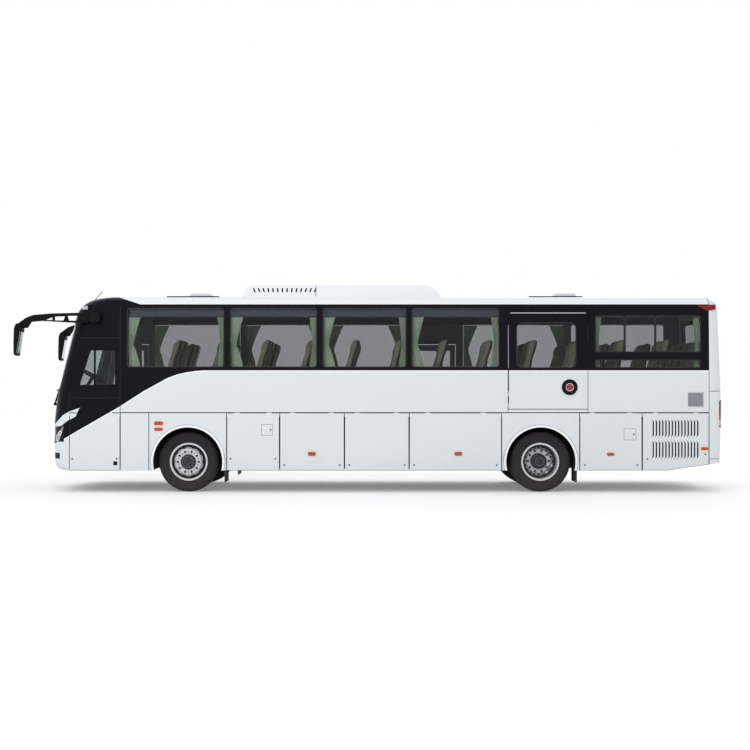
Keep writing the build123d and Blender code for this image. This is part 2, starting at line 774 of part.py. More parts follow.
def engine_hatch():
    """Hatch cut from the tail, with louvres, the plate's place and two hinge knuckles."""
    hatch = REAR_SHELL & block(REAR_SEAM_X, REAR_X + 50, -HATCH_HALF + SEAM, HATCH_HALF - SEAM,
                               HATCH_Z0 + SEAM, HATCH_Z1 - HINGE_GAP)
    hatch -= block(REAR_SEAM_X, REAR_X + 50, *REAR_PLATE) - REAR_RECESS
    y0, y1 = HATCH_VENT_Y
    z0, z1 = HATCH_VENT_Z
    for i in range(HATCH_VENT_ROWS):
        z = z0 + i * (z1 - z0 - HATCH_VENT_H) / (HATCH_VENT_ROWS - 1)
        slot = along_x(rounded(y0, y1, z, z + HATCH_VENT_H, HATCH_VENT_H / 2 - 1), REAR_SEAM_X, REAR_X + 50)
        for tool in both_sides(slot):
            hatch -= tool
    r = HINGE_GAP / 2 - KNUCKLE_CLEAR
    x = hatch_axis_x()
    z = HATCH_Z1 - HINGE_GAP / 2
    half = HATCH_KNUCKLE_L / 2
    for y in (-HATCH_KNUCKLE_Y, HATCH_KNUCKLE_Y):
        hatch += rod(r, HATCH_KNUCKLE_L, x, y, z)
        hatch += block(x - r, x + r, y - half, y + half, z - HINGE_GAP / 2 - 10, z)
    return hatch


# Lower side: fixed panels, lockers and their hinges

def markers_on(x0, x1):
    """Amber markers of the left side that lie on a door or panel."""
    y = -HALF_WIDTH
    return [along_y(rounded(a, b, z0, z1, MARKER_R), y - MARKER_PROUD, y + 2)
            for a, b, z0, z1 in SIDE_MARKERS if x0 < a and b < x1]

def lower_plate(x0, x1, z0, z1):
    """Vertical plate of the left side, with eased outer edges."""
    plate = block(x0, x1, -HALF_WIDTH, -HALF_WIDTH + WALL, z0, z1)
    outer = plate.faces().sort_by(Axis.Y)[0]
    return chamfer(outer.edges(), 3)


def arch_panel(x0, x1, wheel_x):
    """Panel round a wheel arch, with the raised lip as a crescent."""
    plate = plain_panel(x0, x1)
    lip = Pos(wheel_x, TYRE_R + ARCH_LIP) * Circle(ARCH_R + ARCH_LIP)
    lip -= Pos(wheel_x, 0) * Rectangle(2000, 2 * SKIRT_Z)
    lip_solid = along_y(lip, -HALF_WIDTH - LIP_PROUD, -HALF_WIDTH + 5)
    opening = rod(ARCH_R, 400, wheel_x, -HALF_WIDTH, TYRE_R)
    return plate + lip_solid - opening


def plain_panel(x0, x1):
    """Fixed panel, seated under the wall with a groove below it."""
    plate = lower_plate(x0 + SEAM / 2, x1 - SEAM / 2, SKIRT_Z, FLOOR_Z - SEAM)
    tongue = block(x0 + SEAM / 2, x1 - SEAM / 2, -HALF_WIDTH + 8, -HALF_WIDTH + WALL, FLOOR_Z - SEAM, FLOOR_Z - FIT)
    plate += tongue
    for marker in markers_on(x0, x1):
        plate += marker
    return plate


def lower_panels():
    left = []
    for x0, x1, wheel_x in PANELS_LEFT:
        left.append(arch_panel(x0, x1, wheel_x) if wheel_x else plain_panel(x0, x1))
    right = []
    for x0, x1, wheel_x in PANELS_RIGHT:
        panel = arch_panel(x0, x1, wheel_x) if wheel_x else plain_panel(x0, x1)
        right.append(mirror(panel, about=Plane.XZ) - tail_cut())
    return group(left + right)


def knuckle(x, length=80):
    """Hinge knuckle of a lower door, with its tab."""
    r = HINGE_GAP / 2 - KNUCKLE_CLEAR
    y = -HALF_WIDTH + r
    z = FLOOR_Z - HINGE_GAP / 2
    tab = block(x - length / 2, x + length / 2, y - r, y + r, FLOOR_Z - HINGE_GAP - 5, z)
    return rod(r, length, x, y, z, "X") + tab


def grille_slots():
    """Two rows of upright slots, bowed like brackets."""
    pitch = (GRILLE_X[1] - GRILLE_X[0] - SLOT_W) / (GRILLE_SLOTS - 1)
    tools = []
    for z0, z1 in GRILLE_ROWS:
        for i in range(GRILLE_SLOTS):
            x = GRILLE_X[0] + i * pitch
            slot = flat([(x, z1), (x + SLOT_W, z1 - SLOT_TIP), (x + SLOT_W, z0 + SLOT_TIP), (x, z0),
                         (x + SLOT_BOW, z0 + SLOT_TIP), (x + SLOT_BOW, z1 - SLOT_TIP)])
            tools.append(along_y(slot, -HALF_WIDTH - 50, -HALF_WIDTH + 200))
    return tools


def flap_groove(x0, x1, z0, z1):
    """Outline of a filler flap, as a thin groove."""
    ring = rounded(x0, x1, z0, z1, FLAP_R)
    ring -= rounded(x0 + FLAP_GROOVE, x1 - FLAP_GROOVE, z0 + FLAP_GROOVE, z1 - FLAP_GROOVE, FLAP_R - FLAP_GROOVE)
    return along_y(ring, -HALF_WIDTH - 10, -HALF_WIDTH + FLAP_GROOVE)


def locker_door(name, x0, x1, z0):
    """Lower door with its knuckles, markers and what its name calls for."""
    door = lower_plate(x0 + SEAM / 2, x1 - SEAM / 2, z0, FLOOR_Z - HINGE_GAP)
    for x in (x0 + 0.2 * (x1 - x0), x1 - 0.2 * (x1 - x0)):
        door += knuckle(x)
    for marker in markers_on(x0, x1):
        door += marker
    for owner, a, b, low, high in FLAPS:
        if owner == name:
            door -= flap_groove(a, b, low, high)
    if x1 > TAIL_RISE_X:
        door -= tail_cut()
    if name == "radiator_door_left":
        for tool in grille_slots():
            door -= tool
    return door


# Doors for people

def door_leaf(spec, shell):
    """Leaf of the left side's mirror image: cut from the shell, with its window."""
    return (shell & door_outline(spec, SEAM)) - leaf_pane(spec)


def leaf_pane(spec, grow=0):
    x0, x1, top, slant = spec
    front, back, head = PANE_IN
    x0 += front - grow
    x1 += grow - back
    z0 = PANE_Z0 - grow
    z1 = top - head + grow
    outline = flat([(x0, z0), (x0, DOOR_SLANT_Z), (x0 + slant, z1), (x1, z1), (x1, z0)])
    return along_y(outline, -HALF_WIDTH - 50, -HALF_WIDTH + 350)


def door_post_y():
    return HALF_WIDTH - DOOR_POST_IN


def arm_end(x0):
    """Place of the leaf's pivot when the door is shut."""
    angle = math.radians(ARM_CLOSED_DEG)
    x = x0 + DOOR_POST_X + ARM_REACH * math.cos(angle)
    return x, door_post_y() + ARM_REACH * math.sin(angle)


def link(ax, ay, bx, by, z):
    """Flat bar between two upright pivots."""
    length = math.hypot(bx - ax, by - ay)
    turn = math.degrees(math.atan2(by - ay, bx - ax))
    bar = Pos((ax + bx) / 2, (ay + by) / 2, z) * Rot(0, 0, turn) * Box(length, ARM_T, ARM_H)
    for x, y in ((ax, ay), (bx, by)):
        bar += Pos(x, y, z) * Cylinder(ARM_T / 2, ARM_H)
    return bar


def door_arm(x0):
    """Post with two swan-neck arms, each bent at an elbow."""
    px = x0 + DOOR_POST_X
    py = door_post_y()
    turn = math.radians(90 - ARM_SWING_DEG)
    ex = px + ARM_ELBOW * math.cos(turn)
    ey = py + ARM_ELBOW * math.sin(turn)
    ax, ay = arm_end(x0)
    foot = STEP_FLOOR_Z + FIT
    head = ARM_ZS[-1] + 80
    arm = rod(DOOR_POST_R, head - foot, px, py, (head + foot) / 2, "Z")
    for z in ARM_ZS:
        arm += link(px, py, ex, ey, z) + link(ex, ey, ax, ay, z)
    return arm


def leaf_brackets(x0):
    """Ears on the leaf, above and below each arm's end."""
    ax, ay = arm_end(x0)
    ears = []
    for z in ARM_ZS:
        for middle in (z - EAR_Z, z + EAR_Z):
            ears.append(block(ax - EAR_HALF, ax + EAR_HALF, ay - EAR_HALF, HALF_WIDTH - WALL + 2,
                              middle - EAR_T / 2, middle + EAR_T / 2))
    return ears


def passenger_door(spec, shell):
    """Right-hand leaf and its pane."""
    leaf = mirror(door_leaf(spec, shell), about=Plane.XZ)
    for ear in leaf_brackets(spec[0]):
        leaf += ear
    return leaf


def straight_shell(z0, z1, x0, x1):
    return skin_slab(0, WALL, z0, z1, x0, x1)


def front_leaf_shell():
    return mirror(FRONT_SHELL & block(NOSE_X, MASK_END_X, 0, 2000, SKIRT_Z, 2600), about=Plane.XZ)


def leaf_glass(spec, curved):
    x0, x1, top, slant = spec
    if curved:
        slab = mirror(FRONT_GLASS & block(NOSE_X, MASK_END_X, 0, 2000, SKIRT_Z, 2600), about=Plane.XZ)
    else:
        slab = skin_slab(GLASS_INSET, GLASS_INSET + GLASS_T, SKIRT_Z, top, x0, x1)
    return mirror(slab & leaf_pane(spec, -GLASS_CLEAR), about=Plane.XZ)


def door_handle():
    """Round dish on the emergency door, with a bar across it."""
    y = -HALF_WIDTH - HANDLE_PROUD
    dish = rod(HANDLE_R, 2 * HANDLE_PROUD, HANDLE_X, -HALF_WIDTH, HANDLE_Z)
    dish -= rod(HANDLE_R - HANDLE_RING, HANDLE_PROUD, HANDLE_X, y, HANDLE_Z)
    half = HANDLE_BAR[0] / 2
    height = HANDLE_BAR[1] / 2
    return dish + block(HANDLE_X - half, HANDLE_X + half, y - 4, -HALF_WIDTH, HANDLE_Z - height, HANDLE_Z + height)


def emergency_door():
    x0, x1, z0, z1 = EMERGENCY
    edge = x0 + HINGE_GAP
    leaf = skin_slab(0, WALL, z0 + SEAM, z1 - SEAM, edge, x1 - SEAM)
    leaf -= window_cut(*EMERGENCY_PANE)
    ease = flat([(edge - 1, -HALF_WIDTH - 1), (edge + EMERGENCY_EASE, -HALF_WIDTH - 1),
                 (edge - 1, -HALF_WIDTH + EMERGENCY_EASE)])
    leaf -= Pos(0, 0, z0) * extrude(ease, amount=z1 - z0)
    r = HINGE_GAP / 2 - KNUCKLE_CLEAR
    x = x0 + HINGE_GAP / 2
    y = -HALF_WIDTH + r
    for z in EMERGENCY_HINGE_ZS:
        leaf += rod(r, 80, x, y, z, "Z")
        leaf += block(x, edge + EMERGENCY_EASE, y, y + r, z - 40, z + 40)
    return leaf + door_handle()


def emergency_glass():
    slab = skin_slab(GLASS_INSET, GLASS_INSET + GLASS_T, BELT_Z, BAND_TOP_Z, EMERGENCY[0], EMERGENCY[1])
    return slab & window_cut(*EMERGENCY_PANE, -GLASS_CLEAR)


# Floor, steps and lockers' insides


def stepwell(x0, x1):
    """Steps inside a passenger door, from the well's floor to the cabin's."""
    rise = (FLOOR_Z - STEP_FLOOR_Z) / STEP_COUNT
    tread = STEPWELL_DEPTH / STEP_COUNT
    y1 = INNER_HALF
    outline = [(y1, STEP_FLOOR_Z - 20), (y1, STEP_FLOOR_Z)]
    for i in range(STEP_COUNT):
        y = y1 - (i + 1) * tread
        outline.append((y, STEP_FLOOR_Z + i * rise))
        outline.append((y, STEP_FLOOR_Z + (i + 1) * rise))
    y_end = y1 - STEPWELL_DEPTH
    outline[-1] = (y_end, FLOOR_Z - FLOOR_T)
    under = [(y_end - 15, FLOOR_Z - FLOOR_T)]
    for i in reversed(range(STEP_COUNT)):
        y = y1 - (i + 1) * tread
        under.append((y - 15, STEP_FLOOR_Z + i * rise - 20))
        if i:
            under.append((y + tread - 15, STEP_FLOOR_Z + i * rise - 20))
    return along_x(flat(outline + under), x0, x1)


def floor_deck():
    """Cabin floor with a well at each passenger door."""
    edge = HALF_WIDTH - WALL - FIT
    deck = block(CAP_SEAM_X, REAR_SEAM_X, -INNER_HALF, INNER_HALF, FLOOR_Z - FLOOR_T, FLOOR_Z)
    deck += block(CAP_SEAM_X + 40, REAR_SEAM_X, -edge, edge, FLOOR_Z, FLOOR_TOP)
    deck += block(DECK_NOSE_X, CAP_SEAM_X + 40, -DECK_NOSE_HALF, DECK_NOSE_HALF, FLOOR_Z - FLOOR_T, FLOOR_TOP)
    for x0, x1 in (WELL_FRONT, WELL_MID):
        deck -= block(x0, x1, INNER_HALF - STEPWELL_DEPTH, HALF_WIDTH, 0, FLOOR_TOP + 10)
    for x0, x1 in (WELL_FRONT, WELL_MID):
        deck += stepwell(x0, x1)
    return deck


def wheelhouse(wheel_x, inner_y):
    """Half-round liner over a left wheel, open below and outside."""
    y0 = -INNER_HALF
    x0 = wheel_x - WHEELHOUSE_HALF
    x1 = wheel_x + WHEELHOUSE_HALF
    outer = block(x0, x1, y0, -inner_y + HOUSE_T, SKIRT_Z, RAIL_TOP)
    inner = block(x0 + HOUSE_T, x1 - HOUSE_T, y0 - 10, -inner_y, SKIRT_Z - 10, HOUSE_TOP - HOUSE_T)
    loft_space = block(x0 + HOUSE_T, x1 - HOUSE_T, y0 - 10, -inner_y, HOUSE_TOP, RAIL_TOP + 10)
    axle_way = block(wheel_x - AXLE_WAY, wheel_x + ROD_WAY, -inner_y - 10, -inner_y + 50, SKIRT_Z - 10, AXLE_WAY_TOP)
    return outer - inner - loft_space - axle_way


def wheelhouses():
    pieces = []
    for wheel_x, inner_y in ((FRONT_AXLE_X, FRONT_HOUSE_Y), (REAR_AXLE_X, REAR_HOUSE_Y)):
        pieces += both_sides(wheelhouse(wheel_x, inner_y))
    return pieces


def bay_liner():
    """Locker floor on both sides of the mid steps, with the bulkheads that carry it."""
    x0 = BULKHEADS[0] - BULKHEAD_T / 2
    x1 = BULKHEADS[-1] - BULKHEAD_T
    half = INNER_HALF
    pieces = block(x0, x1, -half, half, BAY_FLOOR_Z - BAY_T, BAY_FLOOR_Z)
    for x in BULKHEADS:
        xc = min(max(x, x0 + BULKHEAD_T / 2), x1 - BULKHEAD_T / 2)
        pieces += block(xc - BULKHEAD_T / 2, xc + BULKHEAD_T / 2, -half, half, BAY_FLOOR_Z - BAY_T, RAIL_TOP - RAIL_H)
    well = block(WELL_MID[0] - 25, WELL_MID[1] + 25, INNER_HALF - STEPWELL_DEPTH - 40, INNER_HALF + 10, 0, FLOOR_Z)
    return pieces - well


def chassis_frame():
    """Two rails with cross members."""
    z1 = RAIL_TOP
    z0 = z1 - RAIL_H
    half = CROSS_W / 2
    rail = block(CROSS_XS[0] - half, CROSS_XS[-1] + half, -RAIL_Y - RAIL_W / 2, -RAIL_Y + RAIL_W / 2, z0, z1)
    frame = rail + mirror(rail, about=Plane.XZ)
    for x in CROSS_XS:
        frame += block(x - half, x + half, -RAIL_Y, RAIL_Y, z0 + 20, z1 - 10)
    return frame


# Axles

def front_axle():
    """Dropped beam with eyes for the kingpins and air springs below the rails."""
    z0, z1 = BEAM_Z
    half = BEAM_W / 2
    beam = block(FRONT_AXLE_X - half, FRONT_AXLE_X + half, -KINGPIN_Y + 20, KINGPIN_Y - 20, z0, z1)
    for y in (-KINGPIN_Y, KINGPIN_Y):
        beam += rod(EYE_R, z1 - z0, FRONT_AXLE_X, y, (z0 + z1) / 2, "Z")
    for y in (-KINGPIN_Y, KINGPIN_Y):
        beam -= rod(KINGPIN_R + FIT, 300, FRONT_AXLE_X, y, TYRE_R, "Z")
    return beam + air_springs(FRONT_AXLE_X, z1, (0,))


def air_springs(x, z0, places):
    """Bellows between an axle and the rails."""
    z1 = RAIL_TOP - RAIL_H
    spots = [(x + dx, y) for dx in places for y in (-RAIL_Y, RAIL_Y)]
    return Part() + [rod(SPRING_R, z1 - z0, px, py, (z0 + z1) / 2, "Z") for px, py in spots]


def rear_axle():
    """Tube housing with the differential, its springs' carriers and the propeller shaft."""
    axle = rod(TUBE_R, 1200, REAR_AXLE_X, 0, TYRE_R)
    axle += rod(SPINDLE_R, 2 * (TWIN_Y + 60), REAR_AXLE_X, 0, TYRE_R)
    axle += Pos(REAR_AXLE_X, 0, TYRE_R) * Sphere(DIFF_R)
    shaft_end = ENGINE_X[0] - FIT
    axle += rod(SHAFT_R, shaft_end - REAR_AXLE_X, (shaft_end + REAR_AXLE_X) / 2, 0, SHAFT_Z, "X")
    w = CARRIER_HALF_W
    h = CARRIER_HALF_H
    for y in (-RAIL_Y, RAIL_Y):
        axle += block(REAR_AXLE_X - CARRIER_X, REAR_AXLE_X + CARRIER_X, y - w, y + w, TYRE_R - h, TYRE_R + h)
    return axle + air_springs(REAR_AXLE_X, TYRE_R + h, (-SPRING_X, SPRING_X))


def ear_level():
    """Middle height of a knuckle's lower ear."""
    return BEAM_Z[0] - EAR_GAP - KNUCKLE_EAR / 2


def steering_knuckle():
    """Left knuckle: kingpin, two ears, spindle and the arm for the tie rod."""
    y = -KINGPIN_Y
    x = FRONT_AXLE_X
    low = ear_level()
    high = BEAM_Z[1] + EAR_GAP + KNUCKLE_EAR / 2
    ear = KNUCKLE_EAR / 2
    piece = rod(KINGPIN_R, 180, x, y, (low + high) / 2, "Z")
    for z in (low, high):
        piece += block(x - 45, x + 45, y - KNUCKLE_OUT, y + KNUCKLE_IN, z - ear, z + ear)
    piece += block(x - 45, x + 45, y - KNUCKLE_OUT, y - KNUCKLE_OUT + 25, low - ear, high + ear)
    tip = -FRONT_WHEEL_Y - DISC_OFFSET - 5
    root = y - KNUCKLE_OUT + 25
    piece += rod(SPINDLE_R, root - tip, x, (root + tip) / 2, TYRE_R)
    end = y + TIE_ARM_IN
    half = TIE_ARM_W / 2
    arm = flat([(x, y + 25), (x + TIE_ARM_X, end + half), (x + TIE_ARM_X, end - half), (x, y - 25)])
    piece += Pos(0, 0, low) * extrude(arm, amount=TIE_ARM_T)
    return piece + rod(20, TIE_ARM_T, x + TIE_ARM_X, end, low + TIE_ARM_T / 2, "Z")


def tie_rod():
    """Rod between the two arms, with an eye under each arm's end."""
    x = FRONT_AXLE_X + TIE_ARM_X
    half = KINGPIN_Y - TIE_ARM_IN
    level = ear_level() - FIT - TIE_EYE_H / 2
    bar = rod(TIE_R, 2 * half, x, 0, level)
    for y in (-half, half):
        bar += rod(TIE_EYE_R, TIE_EYE_H, x, y, level, "Z")
    return bar


# Wheels

def turned(profile, y, x, z=TYRE_R):
    """Solid of revolution about a wheel's axle, from (w, r) points, w outboard."""
    face = flat([(w, r) for w, r in profile])
    ring = revolve(face, Axis.X)
    return Pos(x, y, z) * Rot(0, 0, -90) * ring


def tyre(y, x):
    half = TYRE_W / 2
    rim = RIM_W / 2
    seat = RIM_R - 11 + FIT
    bead = RIM_R + 4 + FIT
    profile = ((-rim + 10, seat), (-rim + 10, bead), (-rim - 6, bead + 8), (-half, RIM_R + 85), (-half + 6, TYRE_R - 45),
               (-half + 24, TYRE_R - 12), (-half + 70, TYRE_R), (half - 70, TYRE_R), (half - 24, TYRE_R - 12),
               (half - 6, TYRE_R - 45), (half, RIM_R + 85), (rim + 6, bead + 8), (rim - 10, bead), (rim - 10, seat))
    return turned(profile, y, x)


def rim_profile(disc_sign):
    """Rim with its disc on one side: barrel, flanges and dished disc."""
    h = RIM_W / 2
    b = RIM_R - 10
    s = disc_sign
    d = DISC_OFFSET
    return ((-h * s, RIM_R + 4), (-(h - 8) * s, RIM_R + 4), (-(h - 9) * s, b - 1), (40 * s, b - 1),
            ((h - 9) * s, b - 1), ((h - 8) * s, RIM_R + 4), (h * s, RIM_R + 4), ((h - 4) * s, b - 14),
            (70 * s, b - 14), ((d - 40) * s, 232), ((d - 8) * s, 205), (d * s, 190), (d * s, SPINDLE_R + FIT),
            ((d - 14) * s, SPINDLE_R + FIT), ((d - 14) * s, 186), ((d - 22) * s, 200), ((d - 56) * s, 222),
            (50 * s, b - 30), (20 * s, b - 14), (-(h - 4) * s, b - 14))


def ring_of_holes(count, r, circle, length, x, y):
    """Round holes on a circle, through a wheel's disc."""
    tools = []
    for i in range(count):
        a = math.radians(360 * (i + 0.5) / count)
        tools.append(rod(r, length, x + circle * math.cos(a), y, TYRE_R + circle * math.sin(a)))
    return tools


def front_wheel_rim():
    """Left front rim: the disc bulges outwards round the hub, with ten small holes."""
    y = -FRONT_WHEEL_Y
    rim = turned(rim_profile(1), y, FRONT_AXLE_X)
    for hole in ring_of_holes(DISC_HOLES, DISC_HOLE_R, DISC_HOLE_CIRCLE, 60, FRONT_AXLE_X, y - DISC_OFFSET):
        rim -= hole
    d = DISC_OFFSET
    end = d + HUB_LENGTH
    hub = ((d, SPINDLE_R + FIT), (d, HUB_R), (end - 15, HUB_R - 8), (end, HUB_R - 30), (end, 0), (d + 8, 0),
           (d + 8, SPINDLE_R + FIT))
    return rim + turned(hub, y, FRONT_AXLE_X)


def rear_wheel_rims():
    """Left twin rims, disc to disc, with the hub through both and ten hand holes."""
    rim = turned(rim_profile(-1), -TWIN_Y - TWIN_SPACING / 2, REAR_AXLE_X)
    rim += turned(rim_profile(1), -TWIN_Y + TWIN_SPACING / 2, REAR_AXLE_X)
    for hole in ring_of_holes(DISC_HOLES, HAND_HOLE_R, HAND_HOLE_CIRCLE, 160, REAR_AXLE_X, -TWIN_Y):
        rim -= hole
    end = TWIN_HUB_LENGTH
    spool = ((-20, SPINDLE_R + FIT), (-20, HUB_R + 40), (20, HUB_R + 40), (20, HUB_R + 7), (end - 25, HUB_R),
             (end, HUB_R - 30), (end, 0), (66, 0), (66, SPINDLE_R + FIT))
    return rim + turned(spool, -TWIN_Y, REAR_AXLE_X)


# Power and tanks

def engine():
    """Plain block of the engine, hung from the rails."""
    return block(*ENGINE_X, -RAIL_Y + 20, RAIL_Y - 20, ENGINE_Z0, RAIL_TOP - RAIL_H)


def radiator():
    """Radiator core behind its door, hung from the floor."""
    y = -HALF_WIDTH + WALL + 60
    return block(GRILLE_X[0] - 25, GRILLE_X[1] + 20, y, y + RADIATOR_T, GRILLE_ROWS[0][0] - 20, RAIL_TOP)


def tanks():
    """Fuel tank behind the front axle, and two air tanks behind the rear one, under the rails."""
    top = RAIL_TOP - RAIL_H
    x0, x1, z0 = FUEL_TANK
    fuel = block(x0, x1, -RAIL_Y, RAIL_Y, z0, top)
    air = [rod(AIR_TANK_R, AIR_TANK_L, AIR_TANK_X, y, top - AIR_TANK_R - FIT, "X") for y in (-RAIL_Y, RAIL_Y)]
    return [fuel] + air


# Cabin

def seat(outline, x, y0, y1, z):
    """Cushion and leaning back as one side outline."""
    return Pos(x, 0, z) * along_y(flat(outline), y0, y1)


def seat_places():
    """Front x and the two y limits of each bench."""
    places = []
    edge = INNER_HALF - SEAT_SIDE_GAP
    for row in range(SEAT_ROWS):
        x = SEAT_FIRST_X + row * SEAT_PITCH
        places.append((x, -edge, -edge + 2 * SEAT_W))
        if not (WELL_MID[0] - 320 < x < WELL_MID[1] + 320):
            places.append((x, edge - 2 * SEAT_W, edge))
    places.append((REAR_BENCH_X, -edge + 40, edge - 40))
    return places


def seat_cushions():
    seats = [seat(SEAT_OUTLINE, x, y0, y1, FLOOR_TOP) for x, y0, y1 in seat_places()]
    y0 = -DRIVER_Y - DRIVER_HALF
    y1 = -DRIVER_Y + DRIVER_HALF
    driver = seat(DRIVER_OUTLINE, DRIVER_X, y0, y1, FLOOR_TOP + DRIVER_SEAT_H)
    return group(seats + [driver])


def pedestal(size, x, y, height):
    a, b = size
    return block(x - a, x + a, y - b, y + b, FLOOR_TOP, FLOOR_TOP + height - FIT)


def seat_frames():
    """A pedestal under each bench, and the driver's."""
    legs = [pedestal(PEDESTAL, x, (y0 + y1) / 2, SEAT_BASE_Z) for x, y0, y1 in seat_places()]
    return group(legs + [pedestal(DRIVER_PEDESTAL, DRIVER_X, -DRIVER_Y, DRIVER_SEAT_H)])


def luggage_racks():
    """Racks along both sides above the windows."""
    head_z = RACK_Z + RACK_FOOT
    outline = [(-side_y(RACK_Z, WALL) + FIT, RACK_Z), (-side_y(head_z, WALL) + FIT, head_z)]
    outline += [(y, RACK_Z + dz) for y, dz in RACK_OUTLINE]
    return group(both_sides(along_x(flat(outline), *RACK_X)))


def dashboard():
    """Dashboard across the nose, with the driver's binnacle."""
    body = along_y(flat(DASH_OUTLINE), *DASH_Y) & front_form(WALL + 15)
    boss = Pos(0, 0, -COLUMN_L - FIT - BOSS_L / 2) * Cylinder(BOSS_R, BOSS_L)
    return body + Pos(*WHEEL_HUB) * Rot(0, STEER_TILT, 0) * boss


def steering_wheel():
    """Rim, three spokes and the turning column above the boss on the dashboard."""
    ring = Torus(WHEEL_R, 16) + Cylinder(50, 40) + Pos(0, 0, -COLUMN_L / 2) * Cylinder(28, COLUMN_L)
    for turn in (0, 120, 240):
        ring += Rot(0, 0, turn) * Pos(WHEEL_R / 2, 0, 0) * Box(WHEEL_R - 15, 34, 14)
    return Pos(*WHEEL_HUB) * Rot(0, STEER_TILT, 0) * ring


def partition():
    """Panel behind the driver."""
    return block(PARTITION_X, PARTITION_X + 25, -INNER_HALF + SEAT_SIDE_GAP, PARTITION_Y, FLOOR_TOP, PARTITION_TOP)


# Outer fittings

def ac_slots():
    """Fan of slots in the left flank of the roof unit."""
    x0, x1 = AC_SLOTS_X
    z0, z1 = AC_SLOTS_Z
    middle = (AC_SLOT_COUNT - 1) / 2
    tools = []
    for i in range(AC_SLOT_COUNT):
        x = x0 + i * (x1 - x0 - AC_SLOT_W) / (AC_SLOT_COUNT - 1)
        lean = AC_SLOT_LEAN * (i - middle) / middle
        slot = flat([(x, z0), (x + AC_SLOT_W, z0), (x + AC_SLOT_W + lean, z1), (x + lean, z1)])
        tools.append(along_y(slot, -AC_WIDTH[0][0], -AC_SLOT_Y + 20))
    return tools


def ac_unit():
    """Roof unit with rounded ends and sloping sides, seated on the crown, with slots and four fans."""
    side = list(AC_WIDTH)
    width = side + [(-y, z) for y, z in reversed(side)]
    pod = along_y(flat(AC_LENGTH), -HALF_WIDTH, HALF_WIDTH) & along_x(flat(width), AC_LENGTH[0][0], AC_LENGTH[-1][0])
    pod -= along_x(crown_face(-FIT), AC_LENGTH[0][0] - 10, AC_LENGTH[-1][0] + 10)
    pod -= block(*AC_SEAM, -HALF_WIDTH, HALF_WIDTH, AC_LENGTH[5][1] - 10, AC_TOP + 10)
    for slot in ac_slots():
        for tool in both_sides(slot):
            pod -= tool
    top = AC_LENGTH[5][1]
    for x, y in AC_FANS:
        pod += rod(AC_FAN_R, AC_TOP - top + 4, x, y, (AC_TOP + top - 4) / 2, "Z")
    return pod


def mirror_arms():
    """Left mirror: pod on the cap, pierced arm forwards, head hanging ahead of the nose."""
    face = flat(ARM_OUTLINE)
    for hole in ARM_HOLES:
        face -= flat(hole)
    arm = along_y(face, *ARM_Y)
    pod = along_y(rounded(*POD, POD_R), ARM_Y[0], ARM_Y[0] + 150) - FRONT_FIT
    head = along_y(flat(HEAD_OUTLINE), *HEAD_Y)
    head = chamfer(head.faces().sort_by(Axis.Y)[0].edges() + head.faces().sort_by(Axis.Y)[-1].edges(), HEAD_ROUND)
    head -= along_y(flat(GLASS_RECESS), HEAD_Y[0] + GLASS_RECESS_IN, HEAD_Y[1] - GLASS_RECESS_IN)
    return pod + arm + head


def wiper(y):
    """Blade bent to the screen's foot, with its arm and pivot boss."""
    blade = FRONT_PROUD & block(NOSE_X - 50, MASK_END_X, y - WIPER_HALF, y + WIPER_HALF, *WIPER_Z)
    arm = along_y(flat(WIPER_ARM), y - WIPER_ARM_HALF, y + WIPER_ARM_HALF)
    r, x0, x1, z = WIPER_BOSS
    boss = rod(r, x1 - x0, (x0 + x1) / 2, y, z, "X") - FRONT_FIT
    return blade + arm + boss


def wipers():
    """Two wipers parked at the foot of the screen."""
    return group([wiper(-WIPER_Y), wiper(WIPER_Y)])


def marker_lamps():
    """Amber lamps ahead of each front arch, and one at each side of the dome."""
    y = -HALF_WIDTH
    lamps = []
    for a, b, z0, z1 in ARCH_MARKERS:
        outline = rounded(FRONT_AXLE_X + a, FRONT_AXLE_X + b, z0, z1, MARKER_R)
        lamps += both_sides(along_y(outline, y - MARKER_PROUD, y - FIT))
    x0, x1, z0, z1 = DOME_LAMP
    return lamps + both_sides(FRONT_PROUD & block(x0, x1, y, y + 300, z0, z1))


def mud_flaps():
    """Rubber flap behind each wheel, hung from its wheelhouse."""
    y0, y1, z0, z1 = MUD_FLAP
    flaps = []
    for wheel_x in (FRONT_AXLE_X, REAR_AXLE_X):
        x = wheel_x + WHEELHOUSE_HALF - HOUSE_T - FIT
        flaps += both_sides(block(x - MUD_FLAP_T, x, -y1, -y0, z0, z1))
    return flaps


def curtain(x, s):
    """Left-hand curtain, tied at mid height; s is its way into the window."""
    z0, z1 = CURTAIN_Z
    top, tie, foot = CURTAIN_WIDTHS
    outline = flat([(x, z1), (x + top * s, z1), (x + tie * s, CURTAIN_TIE_Z), (x + foot * s, z0), (x, z0)])
    y = -side_y(z1, WALL) + 4
    return along_y(outline, y, y + CURTAIN_T)


def curtains():
    """Tied curtains at both ends of each large window."""
    pieces = []
    for windows, right in ((WINDOWS_LEFT[:4], False), (WINDOWS_RIGHT[:4], True)):
        for row in windows:
            for piece in (curtain(row[0], 1), curtain(row[1], -1)):
                pieces.append(mirror(piece, about=Plane.XZ) if right else piece)
    return group(pieces)


